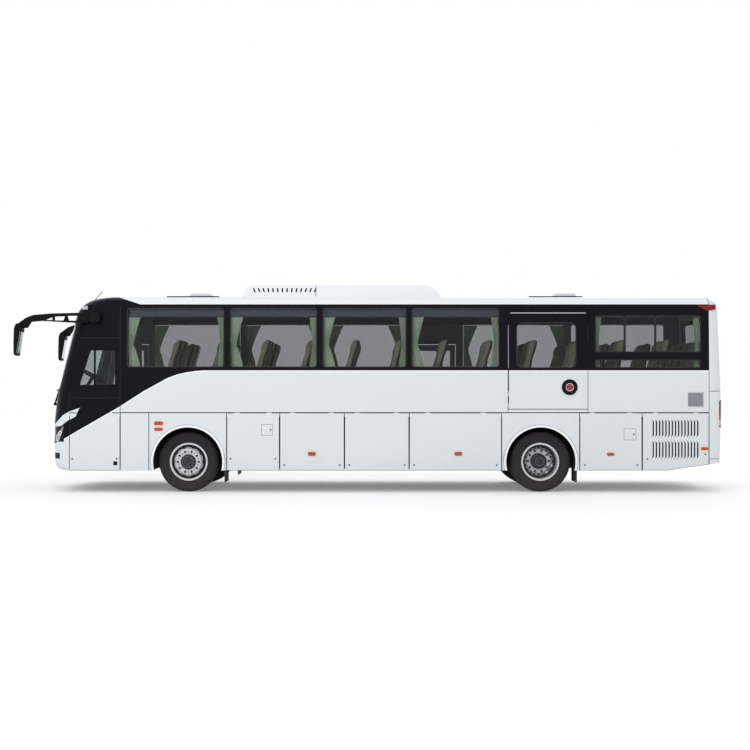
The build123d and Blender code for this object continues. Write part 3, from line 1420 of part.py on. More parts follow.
def main():
    os.makedirs("parts", exist_ok=True)
    save("front_mask", front_mask())
    save("windscreen", windscreen())
    save("headlamps", headlamps())
    save("side_wall_left", side_wall(WINDOWS_LEFT, emergency_opening()))
    right = side_wall(WINDOWS_RIGHT, door_outline(MID_DOOR, 0))
    save("side_wall_right", mirror(right, about=Plane.XZ))
    left_glass = panes(WINDOWS_LEFT) + driver_glass()
    right_glass = [mirror(pane, about=Plane.XZ) for pane in panes(WINDOWS_RIGHT)]
    save("body_glass", group(left_glass + right_glass + [rear_window()]))
    save("roof_shell", roof())
    for name, x0, x1, lid0, lid1 in ROOF_HATCHES:
        save(name, roof_lid(lid0, lid1))
    save("rear_cap", rear_cap())
    save("tail_lamps", tail_lamps())
    save("engine_hatch", engine_hatch())
    save("lower_panels", lower_panels())
    for name, x0, x1, z0 in LOCKERS_LEFT:
        save(name, locker_door(name, x0, x1, z0))
    for name, x0, x1, z0 in LOCKERS_RIGHT:
        save(name, mirror(locker_door(name, x0, x1, z0), about=Plane.XZ))
    save("front_door_leaf", passenger_door(FRONT_DOOR, front_leaf_shell()))
    save("front_door_glass", leaf_glass(FRONT_DOOR, True))
    save("front_door_arm", door_arm(FRONT_DOOR[0]))
    mid_shell = straight_shell(SKIRT_Z, MID_DOOR[2], MID_DOOR[0], MID_DOOR[1])
    save("mid_door_leaf", passenger_door(MID_DOOR, mid_shell))
    save("mid_door_glass", leaf_glass(MID_DOOR, False))
    save("mid_door_arm", door_arm(MID_DOOR[0]))
    save("emergency_door", emergency_door())
    save("emergency_door_glass", emergency_glass())
    save("floor_deck", floor_deck())
    save("underfloor_liners", group([bay_liner()] + wheelhouses() + mud_flaps()))
    save("chassis_frame", chassis_frame())
    save("front_axle", front_axle())
    save("rear_axle", rear_axle())
    left_knuckle = steering_knuckle()
    save("knuckle_left", left_knuckle)
    save("knuckle_right", mirror(left_knuckle, about=Plane.XZ))
    save("tie_rod", tie_rod())
    front_tyre = tyre(-FRONT_WHEEL_Y, FRONT_AXLE_X)
    front_rim = front_wheel_rim()
    twins = [tyre(-TWIN_Y + s * TWIN_SPACING / 2, REAR_AXLE_X) for s in (-1, 1)]
    rear_rims = rear_wheel_rims()
    save("front_tyre_left", front_tyre)
    save("front_rim_left", front_rim)
    save("front_tyre_right", mirror(front_tyre, about=Plane.XZ))
    save("front_rim_right", mirror(front_rim, about=Plane.XZ))
    save("rear_tyres_left", group(twins))
    save("rear_rims_left", rear_rims)
    save("rear_tyres_right", group([mirror(t, about=Plane.XZ) for t in twins]))
    save("rear_rims_right", mirror(rear_rims, about=Plane.XZ))
    save("engine_block", engine())
    save("radiator", radiator())
    save("tanks", group(tanks()))
    save("seat_cushions", seat_cushions())
    save("seat_frames", seat_frames())
    save("luggage_racks", luggage_racks())
    save("dashboard", group([dashboard(), partition()]))
    save("steering_wheel", steering_wheel())
    save("roof_ac_unit", ac_unit())
    save("mirrors", group(both_sides(mirror_arms())))
    save("wipers", wipers())
    save("marker_lamps", group(marker_lamps()))
    save("curtains", curtains())


main()
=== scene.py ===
import bmesh
import bpy
import json
import math
import random
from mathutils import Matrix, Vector

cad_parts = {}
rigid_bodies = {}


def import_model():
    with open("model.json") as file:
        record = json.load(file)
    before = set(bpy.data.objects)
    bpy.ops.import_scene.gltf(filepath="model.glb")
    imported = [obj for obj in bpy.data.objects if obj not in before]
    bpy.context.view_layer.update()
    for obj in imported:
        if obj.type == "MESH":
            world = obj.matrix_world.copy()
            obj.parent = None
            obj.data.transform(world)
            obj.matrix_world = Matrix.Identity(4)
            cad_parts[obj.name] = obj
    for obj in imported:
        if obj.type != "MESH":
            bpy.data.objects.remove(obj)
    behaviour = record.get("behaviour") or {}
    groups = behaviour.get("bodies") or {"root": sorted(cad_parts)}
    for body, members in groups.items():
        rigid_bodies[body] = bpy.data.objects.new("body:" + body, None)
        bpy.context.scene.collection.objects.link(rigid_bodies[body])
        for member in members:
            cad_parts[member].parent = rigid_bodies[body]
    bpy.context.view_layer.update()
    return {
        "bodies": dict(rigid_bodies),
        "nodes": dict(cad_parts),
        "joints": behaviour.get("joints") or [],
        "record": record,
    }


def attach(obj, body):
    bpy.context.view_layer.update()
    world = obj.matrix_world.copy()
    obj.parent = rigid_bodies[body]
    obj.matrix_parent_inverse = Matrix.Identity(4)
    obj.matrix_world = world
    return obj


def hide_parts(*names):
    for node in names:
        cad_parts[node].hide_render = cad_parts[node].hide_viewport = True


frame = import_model()
scene = bpy.context.scene
nodes_of_frame = frame["nodes"]


# Studio and camera
# A plain pale floor under an even sky, as in a catalogue picture. The camera stands level, 19 m from the
# driver's side, a little ahead of the middle of the body, and the lens is shifted rather than tilted.

CAMERA_AT = (0.05, -20.45, 1.51)
LENS = 58.1
SHIFT_UP = 0.0293
FLOOR_HALF = 90


class Field:
    """A number that varies over a surface, held as a node's socket and reckoned with like a plain number.
    Comparing gives 1 or 0, and | gives the larger of two."""

    def __init__(self, tree, socket):
        self.tree, self.socket = tree, socket

    def made(self, operation, *others, clamp=False):
        node = self.tree.nodes.new("ShaderNodeMath")
        node.operation, node.use_clamp = operation, clamp
        for put, value in zip(node.inputs, (self, *others)):
            set_input(put, value)
        return Field(self.tree, node.outputs[0])

    def __add__(self, other):
        return self.made("ADD", other)

    def __sub__(self, other):
        return self.made("SUBTRACT", other)

    def __rsub__(self, other):
        return self.made("MULTIPLY_ADD", -1.0, other)

    def __mul__(self, other):
        return self.made("MULTIPLY", other)

    def __truediv__(self, other):
        return self.made("DIVIDE", other)

    def __gt__(self, other):
        return self.made("GREATER_THAN", other)

    def __lt__(self, other):
        return self.made("LESS_THAN", other)

    def __or__(self, other):
        return self.made("MAXIMUM", other)

    def __abs__(self):
        return self.made("ABSOLUTE")

    def limited(self):
        return self.made("ADD", 0.0, clamp=True)

    def between(self, low, high):
        return (self > low) * (self < high)


def set_input(put, value):
    """Links a field or a socket to an input, or sets a plain value on it."""
    value = getattr(value, "socket", value)
    if isinstance(value, bpy.types.NodeSocket):
        put.id_data.links.new(value, put)
    else:
        put.default_value = value


def wire(node, **values):
    """Sets a node's inputs by name, with _ for each space in a name."""
    for name, value in values.items():
        set_input(node.inputs[name.replace("_", " ")], value)
    return node


def add(tree, kind, **values):
    return wire(tree.nodes.new(kind), **values)


def place(tree):
    """The point's own x, y and z."""
    spot = tree.nodes.new("ShaderNodeTexCoord").outputs["Object"]
    return [Field(tree, socket) for socket in add(tree, "ShaderNodeSeparateXYZ", Vector=spot).outputs]


def distance(a, b):
    return (a * a + b * b).made("SQRT")


def background_rays(tree):
    """1 for rays that see the backdrop straight, in a reflection or through glass."""
    path = tree.nodes.new("ShaderNodeLightPath").outputs
    seen = Field(tree, path["Is Camera Ray"])
    return seen | path["Is Glossy Ray"] | path["Is Transmission Ray"]


def new_object(name, data, at=(0, 0, 0)):
    thing = bpy.data.objects.new(name, data)
    thing.location = at
    scene.collection.objects.link(thing)
    return thing


def add_camera():
    data = bpy.data.cameras.new("camera")
    data.lens = LENS
    data.shift_y = SHIFT_UP
    data.clip_end = 400
    scene.camera = new_object("camera", data, CAMERA_AT)
    scene.camera.rotation_euler = (math.radians(90), 0, 0)


def add_sky(level=0.8):
    """Even sky: white where it is seen, and a plain soft level on the object."""
    scene.world = bpy.data.worlds.new("sky")
    scene.world.use_nodes = True
    tree = scene.world.node_tree
    strength = add(tree, "ShaderNodeMapRange", Value=background_rays(tree), To_Min=level, To_Max=1.0)
    wire(tree.nodes["Background"], Color=(1.0, 1.0, 1.0, 1.0), Strength=strength.outputs[0])


def add_lamp(name, at, aim, size, power):
    data = bpy.data.lights.new(name, "AREA")
    data.shape = "RECTANGLE"
    data.size, data.size_y = size
    data.energy = power
    lamp = new_object(name, data, at)
    lamp.rotation_euler = (Vector(aim) - Vector(at)).to_track_quat("-Z", "Y").to_euler()


def add_floor():
    mesh = bpy.data.meshes.new("studio_floor")
    corners = [(x * FLOOR_HALF, y * FLOOR_HALF, 0) for x, y in ((-1, -1), (1, -1), (1, 1), (-1, 1))]
    mesh.from_pydata(corners, [], [(0, 1, 2, 3)])
    material = bpy.data.materials.new("studio_floor")
    material.use_nodes = True
    tree = material.node_tree
    x, y, _ = place(tree)
    level = add(tree, "ShaderNodeMapRange", Value=distance(x, y), From_Min=7.0, From_Max=13.0, To_Min=0.2,
                To_Max=0.34)
    wire(tree.nodes["Principled BSDF"], Base_Color=(0.9, 0.9, 0.905, 1), Roughness=0.9, Specular_IOR_Level=0.1,
         Emission_Color=(1, 1, 1, 1), Emission_Strength=background_rays(tree) * level.outputs[0])
    mesh.materials.append(material)
    new_object("studio_floor", mesh)


scene.view_settings.view_transform = "Standard"
add_camera()
add_sky()
add_floor()
add_lamp("lamp_left", (-6, -15, 10), (0, 0, 1.2), (12, 6), 640)
add_lamp("lamp_right", (8, 14, 9), (0, 0, 1.2), (12, 6), 520)


# Underbody
# Ladder frame of pressed channel, beam axles, air springs and plain tanks, painted black, with cast steering
# knuckles. Grey road dust lies on all of it, thicker towards the ground.

def linear(colour):
    """Linear red, green and blue of a colour written as in a paint chart."""
    parts = [int(colour[i:i + 2], 16) / 255 for i in (1, 3, 5)]
    return tuple(v / 12.92 if v <= 0.04045 else ((v + 0.055) / 1.055) ** 2.4 for v in parts)


def rgba(colour):
    return (*linear(colour), 1.0)


def mix(amount, a, b):
    """Mix of two colours by a field, each a socket or written as in a paint chart."""
    node = amount.tree.nodes.new("ShaderNodeMix")
    node.data_type = "RGBA"
    for k, value in ((0, amount), (6, a), (7, b)):
        set_input(node.inputs[k], rgba(value) if isinstance(value, str) else value)
    return node.outputs[2]


def new_group(name, kind, inputs, outputs):
    """Empty node group with named inputs and outputs. Each row is a name, a type and perhaps a value."""
    tree = bpy.data.node_groups.new(name, kind)
    for way, rows in (("INPUT", inputs), ("OUTPUT", outputs)):
        for label, sort, *value in rows:
            item = tree.interface.new_socket(name=label, in_out=way, socket_type="NodeSocket" + sort)
            if value:
                item.default_value = value[0]
    return tree, tree.nodes.new("NodeGroupInput").outputs, tree.nodes.new("NodeGroupOutput")


def wear_group():
    """Colour that varies a little, fine grain, and road dust that thins out upwards."""
    tree, put, out = new_group("worn_surface", "ShaderNodeTree", (
        ("Colour", "Color"), ("Tint", "Color"), ("Patch Size", "Float"), ("Grain Size", "Float"),
        ("Roughness", "Float"), ("Roughness Spread", "Float"), ("Dust Colour", "Color", rgba("#8d857a")),
        ("Dust Height", "Float", 1.2), ("Dust Amount", "Float")),
        (("Colour", "Color"), ("Roughness", "Float"), ("Height", "Float")))
    spot = tree.nodes.new("ShaderNodeTexCoord").outputs["Object"]
    patches, grain = (
        Field(tree, add(tree, "ShaderNodeTexNoise", Vector=spot, Scale=put[size], Detail=detail).outputs["Fac"])
        for size, detail in (("Patch Size", 3), ("Grain Size", 4)))
    low = (1.0 - place(tree)[2] / put["Dust Height"]).limited()
    dust = (low * low * (patches * 0.9 + 0.35) * put["Dust Amount"]).limited()
    varied = mix(patches, put["Colour"], put["Tint"])
    rough = (grain - 0.5) * put["Roughness Spread"] + put["Roughness"]
    wire(out, Colour=mix(dust, varied, put["Dust Colour"]), Roughness=(rough + dust * 0.35).limited(),
         Height=grain)
    return tree


def finish(name, colour, tint, rough=0.5, spread=0.12, patch=2.0, grain=120.0, bump=0.0002, metal=0.0,
           coat=0.0, dust=0.0, dust_height=1.2, specular=0.5):
    """Material with the worn surface on one Principled shader. Bump is the grain's height in metres."""
    material = bpy.data.materials.new(name)
    material.use_nodes = True
    tree = material.node_tree
    wear = tree.nodes.new("ShaderNodeGroup")
    wear.node_tree = worn_surface
    wear.name = "wear"
    wire(wear, Colour=rgba(colour), Tint=rgba(tint), Patch_Size=patch, Grain_Size=grain, Roughness=rough,
         Roughness_Spread=spread, Dust_Height=dust_height, Dust_Amount=dust)
    bumps = add(tree, "ShaderNodeBump", Distance=bump, Height=wear.outputs["Height"])
    bumps.name = "bumps"
    wire(tree.nodes["Principled BSDF"], Base_Color=wear.outputs["Colour"], Roughness=wear.outputs["Roughness"],
         Normal=bumps.outputs[0], Metallic=metal, Coat_Weight=coat, Coat_Roughness=0.06,
         Specular_IOR_Level=specular)
    return material


def dress(material, *names):
    """Gives CAD nodes their material."""
    for name in names:
        slots = nodes_of_frame[name].data.materials
        slots.clear()
        slots.append(material)


worn_surface = wear_group()
chassis_black = finish("chassis_black", "#2b2d30", "#1f2023", 0.55, dust=0.55, grain=60, bump=0.0004)
cast_iron = finish("cast_iron", "#4a4a4b", "#38383a", 0.62, metal=0.5, dust=0.5, grain=180, bump=0.0012)
liner_black = finish("liner_black", "#222326", "#17181a", 0.8, dust=0.5, grain=260, bump=0.0015)
radiator_alloy = finish("radiator_alloy", "#6d7276", "#565a5e", 0.45, metal=0.8, dust=0.4)
dress(chassis_black, "chassis_frame", "tanks")
dress(cast_iron, "front_axle", "rear_axle", "knuckle_left", "knuckle_right", "tie_rod", "engine_block")
dress(liner_black, "underfloor_liners")
dress(radiator_alloy, "radiator")


# Wheels
# Tubeless 22.5 inch wheels of pressed steel in silver paint, single in front and twin behind, each held by ten
# nuts on the hub. The tyres carry straight ribs with notched shoulders, and a rim guard on the bulged sidewall.

FRONT_AXLE_X, REAR_AXLE_X, AXLE_Z = -2.92, 2.68, 0.478
FRONT_WHEEL_Y, TWIN_Y, TWIN_SPACING = 1.04, 0.92, 0.31
TYRE_R, RIM_R, TYRE_HALF = 0.478, 0.298, 0.138
TREAD_DEEP = 0.013
RIBS = (-0.088, -0.044, 0.0, 0.044, 0.088)
RIB_HALF = 0.0165
TREAD_PITCHES = 56
SCALLOPS = 10
# Colour and tint of the silver paint, of the dark hub with the painted shade of the dish in front, and of those
# behind
SILVER, FRONT_DISH_SHADE, REAR_DISH_SHADE = ("#d3d3d6", "#c6c6ca"), ("#1d1b1f", "#151417"), ("#4b4a4f", "#414045")
HUB_R, SCALLOP_LOW, SCALLOP_DEEP, DISH_R = 0.1225, 0.218, 0.016, 0.268
SIDES = (("left", -1), ("right", 1))


def as_mesh(bm, name, outward=True):
    """Finished mesh of what was built, its faces pointing outwards."""
    mesh = bpy.data.meshes.new(name)
    if outward:
        bmesh.ops.recalc_face_normals(bm, faces=bm.faces)
    bm.to_mesh(mesh)
    bm.free()
    return mesh


def piece(name, bm, material, body, replaced=(), angle=35, outward=True):
    """Finished object of one mesh, riding on its body."""
    mesh = as_mesh(bm, name, outward)
    mesh.materials.clear()
    mesh.materials.append(material)
    mesh.shade_smooth()
    mesh.set_sharp_from_angle(angle=math.radians(angle))
    thing = new_object(name, mesh)
    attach(thing, body)
    if replaced:
        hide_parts(*replaced)
    return thing


def loft(bm, rings, closed=False, caps=False):
    """Quads between rings of as many points each. closed joins the last ring to the first."""
    rows = [[bm.verts.new(p) for p in ring] for ring in rings]
    pairs = list(zip(rows, rows[1:]))
    if closed:
        pairs.append((rows[-1], rows[0]))
    for a, b in pairs:
        for i in range(len(a)):
            j = (i + 1) % len(a)
            bm.faces.new((a[i], a[j], b[j], b[i]))
    if caps:
        bm.faces.new(rows[0])
        bm.faces.new(list(reversed(rows[-1])))
    return rows


def circle(steps):
    """Cosine and sine at even steps round a circle."""
    return [(math.cos(a), math.sin(a)) for a in (2 * math.pi * i / steps for i in range(steps))]


def turned(bm, profile, centre, steps=96, facing=-1):
    """Ring solid about a wheel's axle from (outboard, radius) points. facing is the sign of outboard in Y."""
    x, y, z = centre
    loft(bm, [[(x + r * c, y + facing * w, z + r * s) for w, r in profile] for c, s in circle(steps)],
         closed=True)


def smooth_profile(points, rounds=2):
    """Closed outline with its corners cut, a little rounder each time."""
    for _ in range(rounds):
        cut = []
        for (a, b), (c, d) in zip(points, points[1:] + points[:1]):
            cut.append((0.78 * a + 0.22 * c, 0.78 * b + 0.22 * d))
            cut.append((0.22 * a + 0.78 * c, 0.22 * b + 0.78 * d))
        points = cut
    return points


def carcass_profile():
    bead, seat, low = 0.101, RIM_R - 0.0107, TYRE_R - TREAD_DEEP
    side = [(bead, seat), (bead + 0.002, RIM_R + 0.006), (0.113, RIM_R + 0.018), (0.121, RIM_R + 0.022),
            (0.122, RIM_R + 0.032), (0.134, RIM_R + 0.062), (TYRE_HALF, RIM_R + 0.09),
            (0.1365, TYRE_R - 0.062), (0.133, TYRE_R - 0.044), (0.131, TYRE_R - 0.04), (0.128, TYRE_R - 0.024),
            (0.108, low + 0.001)]
    return side + [(0.0, low)] + [(-w, r) for w, r in reversed(side)]


def repeat_tree():
    """Copies of one small part, each a Step on from the last and turned on about Y by Turn."""
    tree, put, out = new_group("repeated_part", "GeometryNodeTree", (
        ("Geometry", "Geometry"), ("Count", "Int", 2), ("Start", "Vector"), ("Step", "Vector"),
        ("First Turn", "Float"), ("Turn", "Float"), ("Material", "Material")), (("Geometry", "Geometry"),))
    line = add(tree, "GeometryNodeMeshLine", Count=put["Count"], Start_Location=put["Start"],
               Offset=put["Step"])
    index = Field(tree, tree.nodes.new("GeometryNodeInputIndex").outputs[0])
    angles = add(tree, "ShaderNodeCombineXYZ", Y=index * put["Turn"] + put["First Turn"])
    copies = add(tree, "GeometryNodeInstanceOnPoints", Points=line.outputs["Mesh"], Instance=put["Geometry"],
                 Rotation=angles.outputs[0])
    whole = add(tree, "GeometryNodeRealizeInstances", Geometry=copies.outputs[0])
    wire(out, Geometry=add(tree, "GeometryNodeSetMaterial", Geometry=whole.outputs[0],
                           Material=put["Material"]).outputs[0])
    return tree


def evaluated(thing):
    """Mesh of a thing as its modifiers leave it."""
    bpy.context.view_layer.update()
    depsgraph = bpy.context.evaluated_depsgraph_get()
    return bpy.data.meshes.new_from_object(thing.evaluated_get(depsgraph))


def repeated(bm, seed, material, count, start, step=(0.0, 0.0, 0.0), turn=0.0, first=0.0):
    """Adds copies of a small part to a mesh, in a row or in a ring."""
    holder = new_object("seed", as_mesh(seed, "seed"))
    modifier = holder.modifiers.new("copies", "NODES")
    modifier.node_group = repeated_part
    keys = {item.name: item.identifier for item in repeated_part.interface.items_tree if item.in_out == "INPUT"}
    for label, value in (("Count", count), ("Start", start), ("Step", step), ("Turn", turn),
                         ("First Turn", first), ("Material", material)):
        modifier[keys[label]] = value
    copies = evaluated(holder)
    bm.from_mesh(copies)
    bpy.data.objects.remove(holder)
    bpy.data.meshes.remove(copies)


def tread_segment():
    """One pitch of the tread at the top of the wheel: five ribs, the outer two with a notch between pitches."""
    bm = bmesh.new()
    pitch = 2 * math.pi / TREAD_PITCHES
    low, high = TYRE_R - TREAD_DEEP - 0.002, TYRE_R - 0.0006
    for k, w in enumerate(RIBS):
        outer = k in (0, len(RIBS) - 1)
        half = RIB_HALF * (1.25 if outer else 1.0)
        reach = pitch * (0.80 if outer else 0.93)
        rings = []
        for i in range(3):
            a = -reach / 2 + reach * i / 2 + (0.0 if outer else pitch * 0.12 * (-1) ** k)
            skew = 0.004 * (i - 1) * (-1) ** k
            ring = []
            for dw, r in ((-half, low), (-half + 0.002, high), (half - 0.002, high), (half, low)):
                shoulder = 0.004 if outer and dw * w > 0 and r == high else 0.0
                ring.append(((r - shoulder) * math.sin(a), w + dw + skew, (r - shoulder) * math.cos(a)))
            rings.append(ring)
        loft(bm, rings, caps=True)
    return bm


def tyre_mesh(bm, centre, facing):
    turned(bm, smooth_profile(carcass_profile(), 1), centre, 120, facing)
    repeated(bm, tread_segment(), tyre_rubber, TREAD_PITCHES, centre, turn=2 * math.pi / TREAD_PITCHES)
    for r in (RIM_R + 0.105, RIM_R + 0.128):
        turned(bm, [(TYRE_HALF - 0.004, r - 0.002), (TYRE_HALF - 0.0004, r - 0.0015),
                    (TYRE_HALF - 0.0004, r + 0.0015), (TYRE_HALF - 0.004, r + 0.002)], centre, 96, facing)


def mixed(amount, a, b):
    """Mix of two paints, each a colour and its tint, or one plain colour."""
    a, b = ((paint, paint) if isinstance(paint, str) else paint for paint in (a, b))
    return [mix(amount, p, q) for p, q in zip(a, b)]


def recolour(material, paint):
    wire(material.node_tree.nodes["wear"], Colour=paint[0], Tint=paint[1])
    return material


def rim_finish():
    """Silver paint, dark at the hub, with painted shade over the deep dish. On the front wheels the shade ends
    in ten scallops.
    """
    material = finish("rim_silver", *SILVER, 0.36, metal=0.45, dust=0.15, coat=0.2, grain=300)
    x, _, z = place(material.node_tree)
    rear = x > 0.0
    dx, dz = x - (rear * (REAR_AXLE_X - FRONT_AXLE_X) + FRONT_AXLE_X), z - AXLE_Z
    far = distance(dx, dz)
    lobes = abs((dz.made("ARCTAN2", dx) * (SCALLOPS / 2)).made("SINE"))
    # Dark over the hub, and painted shade over the dish where the wheel's well lies in shadow
    dish = (far > lobes * SCALLOP_DEEP + SCALLOP_LOW) * (far < DISH_R) | (far < HUB_R)
    return recolour(material, mixed(dish, SILVER, mixed(rear, FRONT_DISH_SHADE, REAR_DISH_SHADE)))


repeated_part = repeat_tree()
tyre_rubber = finish("tyre_rubber", "#231f24", "#1b181c", 0.78, dust=0.1, dust_height=1.3, grain=220,
                     bump=0.0006, specular=0.3)
rim_silver = rim_finish()
# Axle, what its tyres, wheels and rims are called, x, and how far out its tyres are
AXLES = (
    ("front", "tyre", "wheel", "rim", FRONT_AXLE_X, (FRONT_WHEEL_Y,)),
    ("rear", "tyres", "wheels", "rims", REAR_AXLE_X, (TWIN_Y + TWIN_SPACING / 2, TWIN_Y - TWIN_SPACING / 2)),
)
for axle, tyre, wheel, rim, x, ys in AXLES:
    for side, facing in SIDES:
        rubber = bmesh.new()
        for y in ys:
            tyre_mesh(rubber, (x, facing * y, AXLE_Z), facing)
        node = f"{axle}_{tyre}_{side}"
        piece(node + "_treaded", rubber, tyre_rubber, f"{axle}_{wheel}_{side}", (node,))
        dress(rim_silver, f"{axle}_{rim}_{side}")


# Wheel hubs
# Steel hubs bolted through the discs. Hexagon nuts with their studs stand in one ring, the cap is pressed in,
# and a ring of small screws holds its cover. The rear hub sits deep in the dish of the outer wheel.

NUT_CIRCLE_R, NUT_COUNT, CAP_SCREWS, SCREW_R = 0.1675, 10, 12, 0.0075
# Outlines of the hub caps as (outboard, radius) points
FRONT_CAP = [(0.150, 0.118), (0.153, 0.1215), (0.188, 0.113), (0.191, 0.106), (0.2, 0.099), (0.2055, 0.082),
             (0.2055, 0.02), (0.2, 0.0)]
REAR_CAP = [(0.019, 0.128), (0.15, 0.1215), (0.153, 0.113), (0.176, 0.091), (0.1785, 0.08), (0.1755, 0.07),
            (0.1755, 0.035), (0.178, 0.03), (0.178, 0.0)]
# Axle, body, x, y, outline of the cap, nuts' seat outboard, radius of the screws' ring
HUBS = (
    ("front", "wheel", FRONT_AXLE_X, FRONT_WHEEL_Y, FRONT_CAP, 0.150, 0.088),
    ("rear", "wheels", REAR_AXLE_X, TWIN_Y, REAR_CAP, 0.020, 0.062),
)


def fastener(facing, ring_r, heads):
    """Nut or screw at the top of the wheel. Each head has a radius, its sides and (outboard, share) layers."""
    bm = bmesh.new()
    for radius, steps, layers in heads:
        loft(bm, [[(radius * k * c, facing * w, ring_r + radius * k * s) for c, s in circle(steps)]
                  for w, k in layers], caps=True)
    return bm


def nut(facing, w):
    """Hexagon nut with its stud, seated on the disc at w outboard of the middle."""
    sizes = ((0.0185, 6, w - 0.001, w + 0.02), (0.0115, 12, w + 0.018, w + 0.034))
    return fastener(facing, NUT_CIRCLE_R, [(radius, steps, ((w0, 1.0), (w1 - 0.003, 1.0), (w1, 0.82)))
                                           for radius, steps, w0, w1 in sizes])


hub_dark = finish("hub_dark", "#2a292d", "#1f1e22", 0.5, metal=0.3, dust=0.08, grain=160, bump=0.0006)
nut_steel = finish("nut_steel", "#9da1a6", "#84888d", 0.38, metal=0.9, dust=0.2)
for axle, wheel, x, y, cap, disc_w, screw_r in HUBS:
    for side, facing in SIDES:
        name, body = f"{axle}_hub_{side}", f"{axle}_{wheel}_{side}"
        centre = (x, facing * y, AXLE_Z)
        cover, nuts, screws = bmesh.new(), bmesh.new(), bmesh.new()
        turned(cover, [(cap[0][0], 0.0)] + cap, centre, 64, facing)
        repeated(nuts, nut(facing, disc_w), hub_dark, NUT_COUNT, centre, turn=2 * math.pi / NUT_COUNT,
                 first=math.pi / NUT_COUNT)
        w = cap[-1][0] - 0.002
        screw_layers = ((w - 0.002, 1.0), (w + 0.006, 1.0), (w + 0.008, 0.8))
        screw = fastener(facing, screw_r, [(SCREW_R, 6, screw_layers)])
        repeated(screws, screw, nut_steel, CAP_SCREWS, centre, turn=2 * math.pi / CAP_SCREWS, first=0.2)
        piece(name + "_cap", cover, hub_dark, body, angle=30)
        piece(name + "_nuts", nuts, hub_dark, body, angle=20)
        piece(name + "_screws", screws, nut_steel, body, angle=20)


# Cabin floor and steps
# Plywood deck under grey ribbed floor covering, stepped down at both passenger doors. Each tread has a bright
# aluminium nosing screwed along its edge.

FLOOR_TOP = 1.28
STEP_TREAD, STEP_RISE, STEP_LOW, WELL_OUT = 0.2067, 0.288, 0.4, 1.193
WELLS = ((-4.78, -4.0), (0.70, 1.48))


def box_in(bm, low, high, ease=0.0):
    """Block between two corners, with eased edges."""
    made = bmesh.ops.create_cube(bm, size=1.0)["verts"]
    size = [b - a for a, b in zip(low, high)]
    middle = [(a + b) / 2 for a, b in zip(low, high)]
    for v in made:
        v.co = Vector([m + c * s for m, c, s in zip(middle, v.co, size)])
    if ease:
        edges = list({e for v in made for e in v.link_edges})
        bmesh.ops.bevel(bm, geom=edges, offset=ease, segments=2, affect="EDGES", profile=0.6)


floor_cover = finish("floor_cover", "#5b5f63", "#4c5054", 0.6, grain=500, bump=0.0008, patch=1.2)
bright_strip = finish("bright_strip", "#a9adb1", "#8e9296", 0.3, metal=0.9, grain=300)
dress(floor_cover, "floor_deck")
nosings = bmesh.new()
for x0, x1 in WELLS:
    for i in range(3):
        y = WELL_OUT - (i + 1) * STEP_TREAD
        z = STEP_LOW + (i + 1) * STEP_RISE + (0.016 if i == 2 else 0.0)
        box_in(nosings, (x0, y - 0.035, z), (x1, y + 0.004, z + 0.003), 0.001)
        box_in(nosings, (x0, y + 0.0003, z - 0.03), (x1, y + 0.004, z + 0.001), 0.001)
piece("step_nosings", nosings, bright_strip, "root")


# Seats
# Reclined high-back coach seats in pairs on pedestals, five across at the tail, and the driver's own. Foam pads
# in olive cloth with a dark middle panel, over a moulded back shell, with an armrest.

SEAT_PITCH, SEAT_FIRST_X, SEAT_ROWS, SEAT_W = 0.712, -3.35, 12, 0.45
SEAT_EDGE_Y, BENCH_X, BENCH_W, MID_WELL = 1.145, 5.11, 0.44, (0.69, 1.49)
# Height above the floor, place of the back's middle line from the seat's point, half depth, half width, dish
BACK_ROWS = (
    (0.470, 0.100, 0.022, 0.190, 0.000), (0.500, 0.106, 0.048, 0.205, 0.010),
    (0.560, 0.120, 0.062, 0.212, 0.022), (0.640, 0.128, 0.066, 0.214, 0.030),
    (0.730, 0.141, 0.058, 0.213, 0.032), (0.820, 0.163, 0.050, 0.208, 0.028),
    (0.900, 0.188, 0.048, 0.200, 0.022), (0.960, 0.206, 0.054, 0.190, 0.014),
    (1.020, 0.218, 0.064, 0.178, 0.006), (1.080, 0.234, 0.060, 0.166, 0.004),
    (1.130, 0.254, 0.044, 0.150, 0.002), (1.160, 0.268, 0.016, 0.120, 0.000),
)
# Place of the squab's section from the seat's point, height above the floor, half depth, half width
SQUAB_ROWS = (
    (-0.228, 0.462, 0.020, 0.190), (-0.210, 0.468, 0.045, 0.206), (-0.150, 0.474, 0.058, 0.213),
    (-0.050, 0.470, 0.060, 0.215), (0.050, 0.464, 0.058, 0.213), (0.130, 0.458, 0.052, 0.208),
    (0.170, 0.455, 0.020, 0.190),
)
PAD_VOXEL, PAD_PRESSURE, PAD_FRAMES, PAD_MOVE, PAD_FACES = 0.014, 4.0, 12, 0.012, 560


def oval(count, half_u, half_v, power=3.0):
    """Points of a rounded rectangle about the middle."""
    def part(half, share):
        return half * math.copysign(abs(share) ** (2 / power), share)
    return [(part(half_u, c), part(half_v, s)) for c, s in circle(count)]


def back_pad():
    """Back pad of one seat about its own point, facing -X. The dish hollows it between the bolsters."""
    bm, rings = bmesh.new(), []
    for z, x, depth, half, dish in BACK_ROWS:
        rings.append([(x + u + (dish * max(0.0, 1 - (v / (0.72 * half)) ** 4) if u < 0 else 0.0), v, z)
                      for u, v in oval(20, depth, half)])
    loft(bm, rings, caps=True)
    return bm


def squab_pad():
    bm, rings = bmesh.new(), []
    for x, z, depth, half in SQUAB_ROWS:
        rings.append([(x, v, z + u + (0.012 * (abs(v) / half) ** 3 if u > 0 else 0.0) - 0.006)
                      for v, u in oval(20, half, depth)])
    loft(bm, rings, caps=True)
    return bm


def settled(thing):
    """Works a thing's modifiers into its mesh."""
    mesh = evaluated(thing)
    thing.modifiers.clear()
    thing.data = mesh


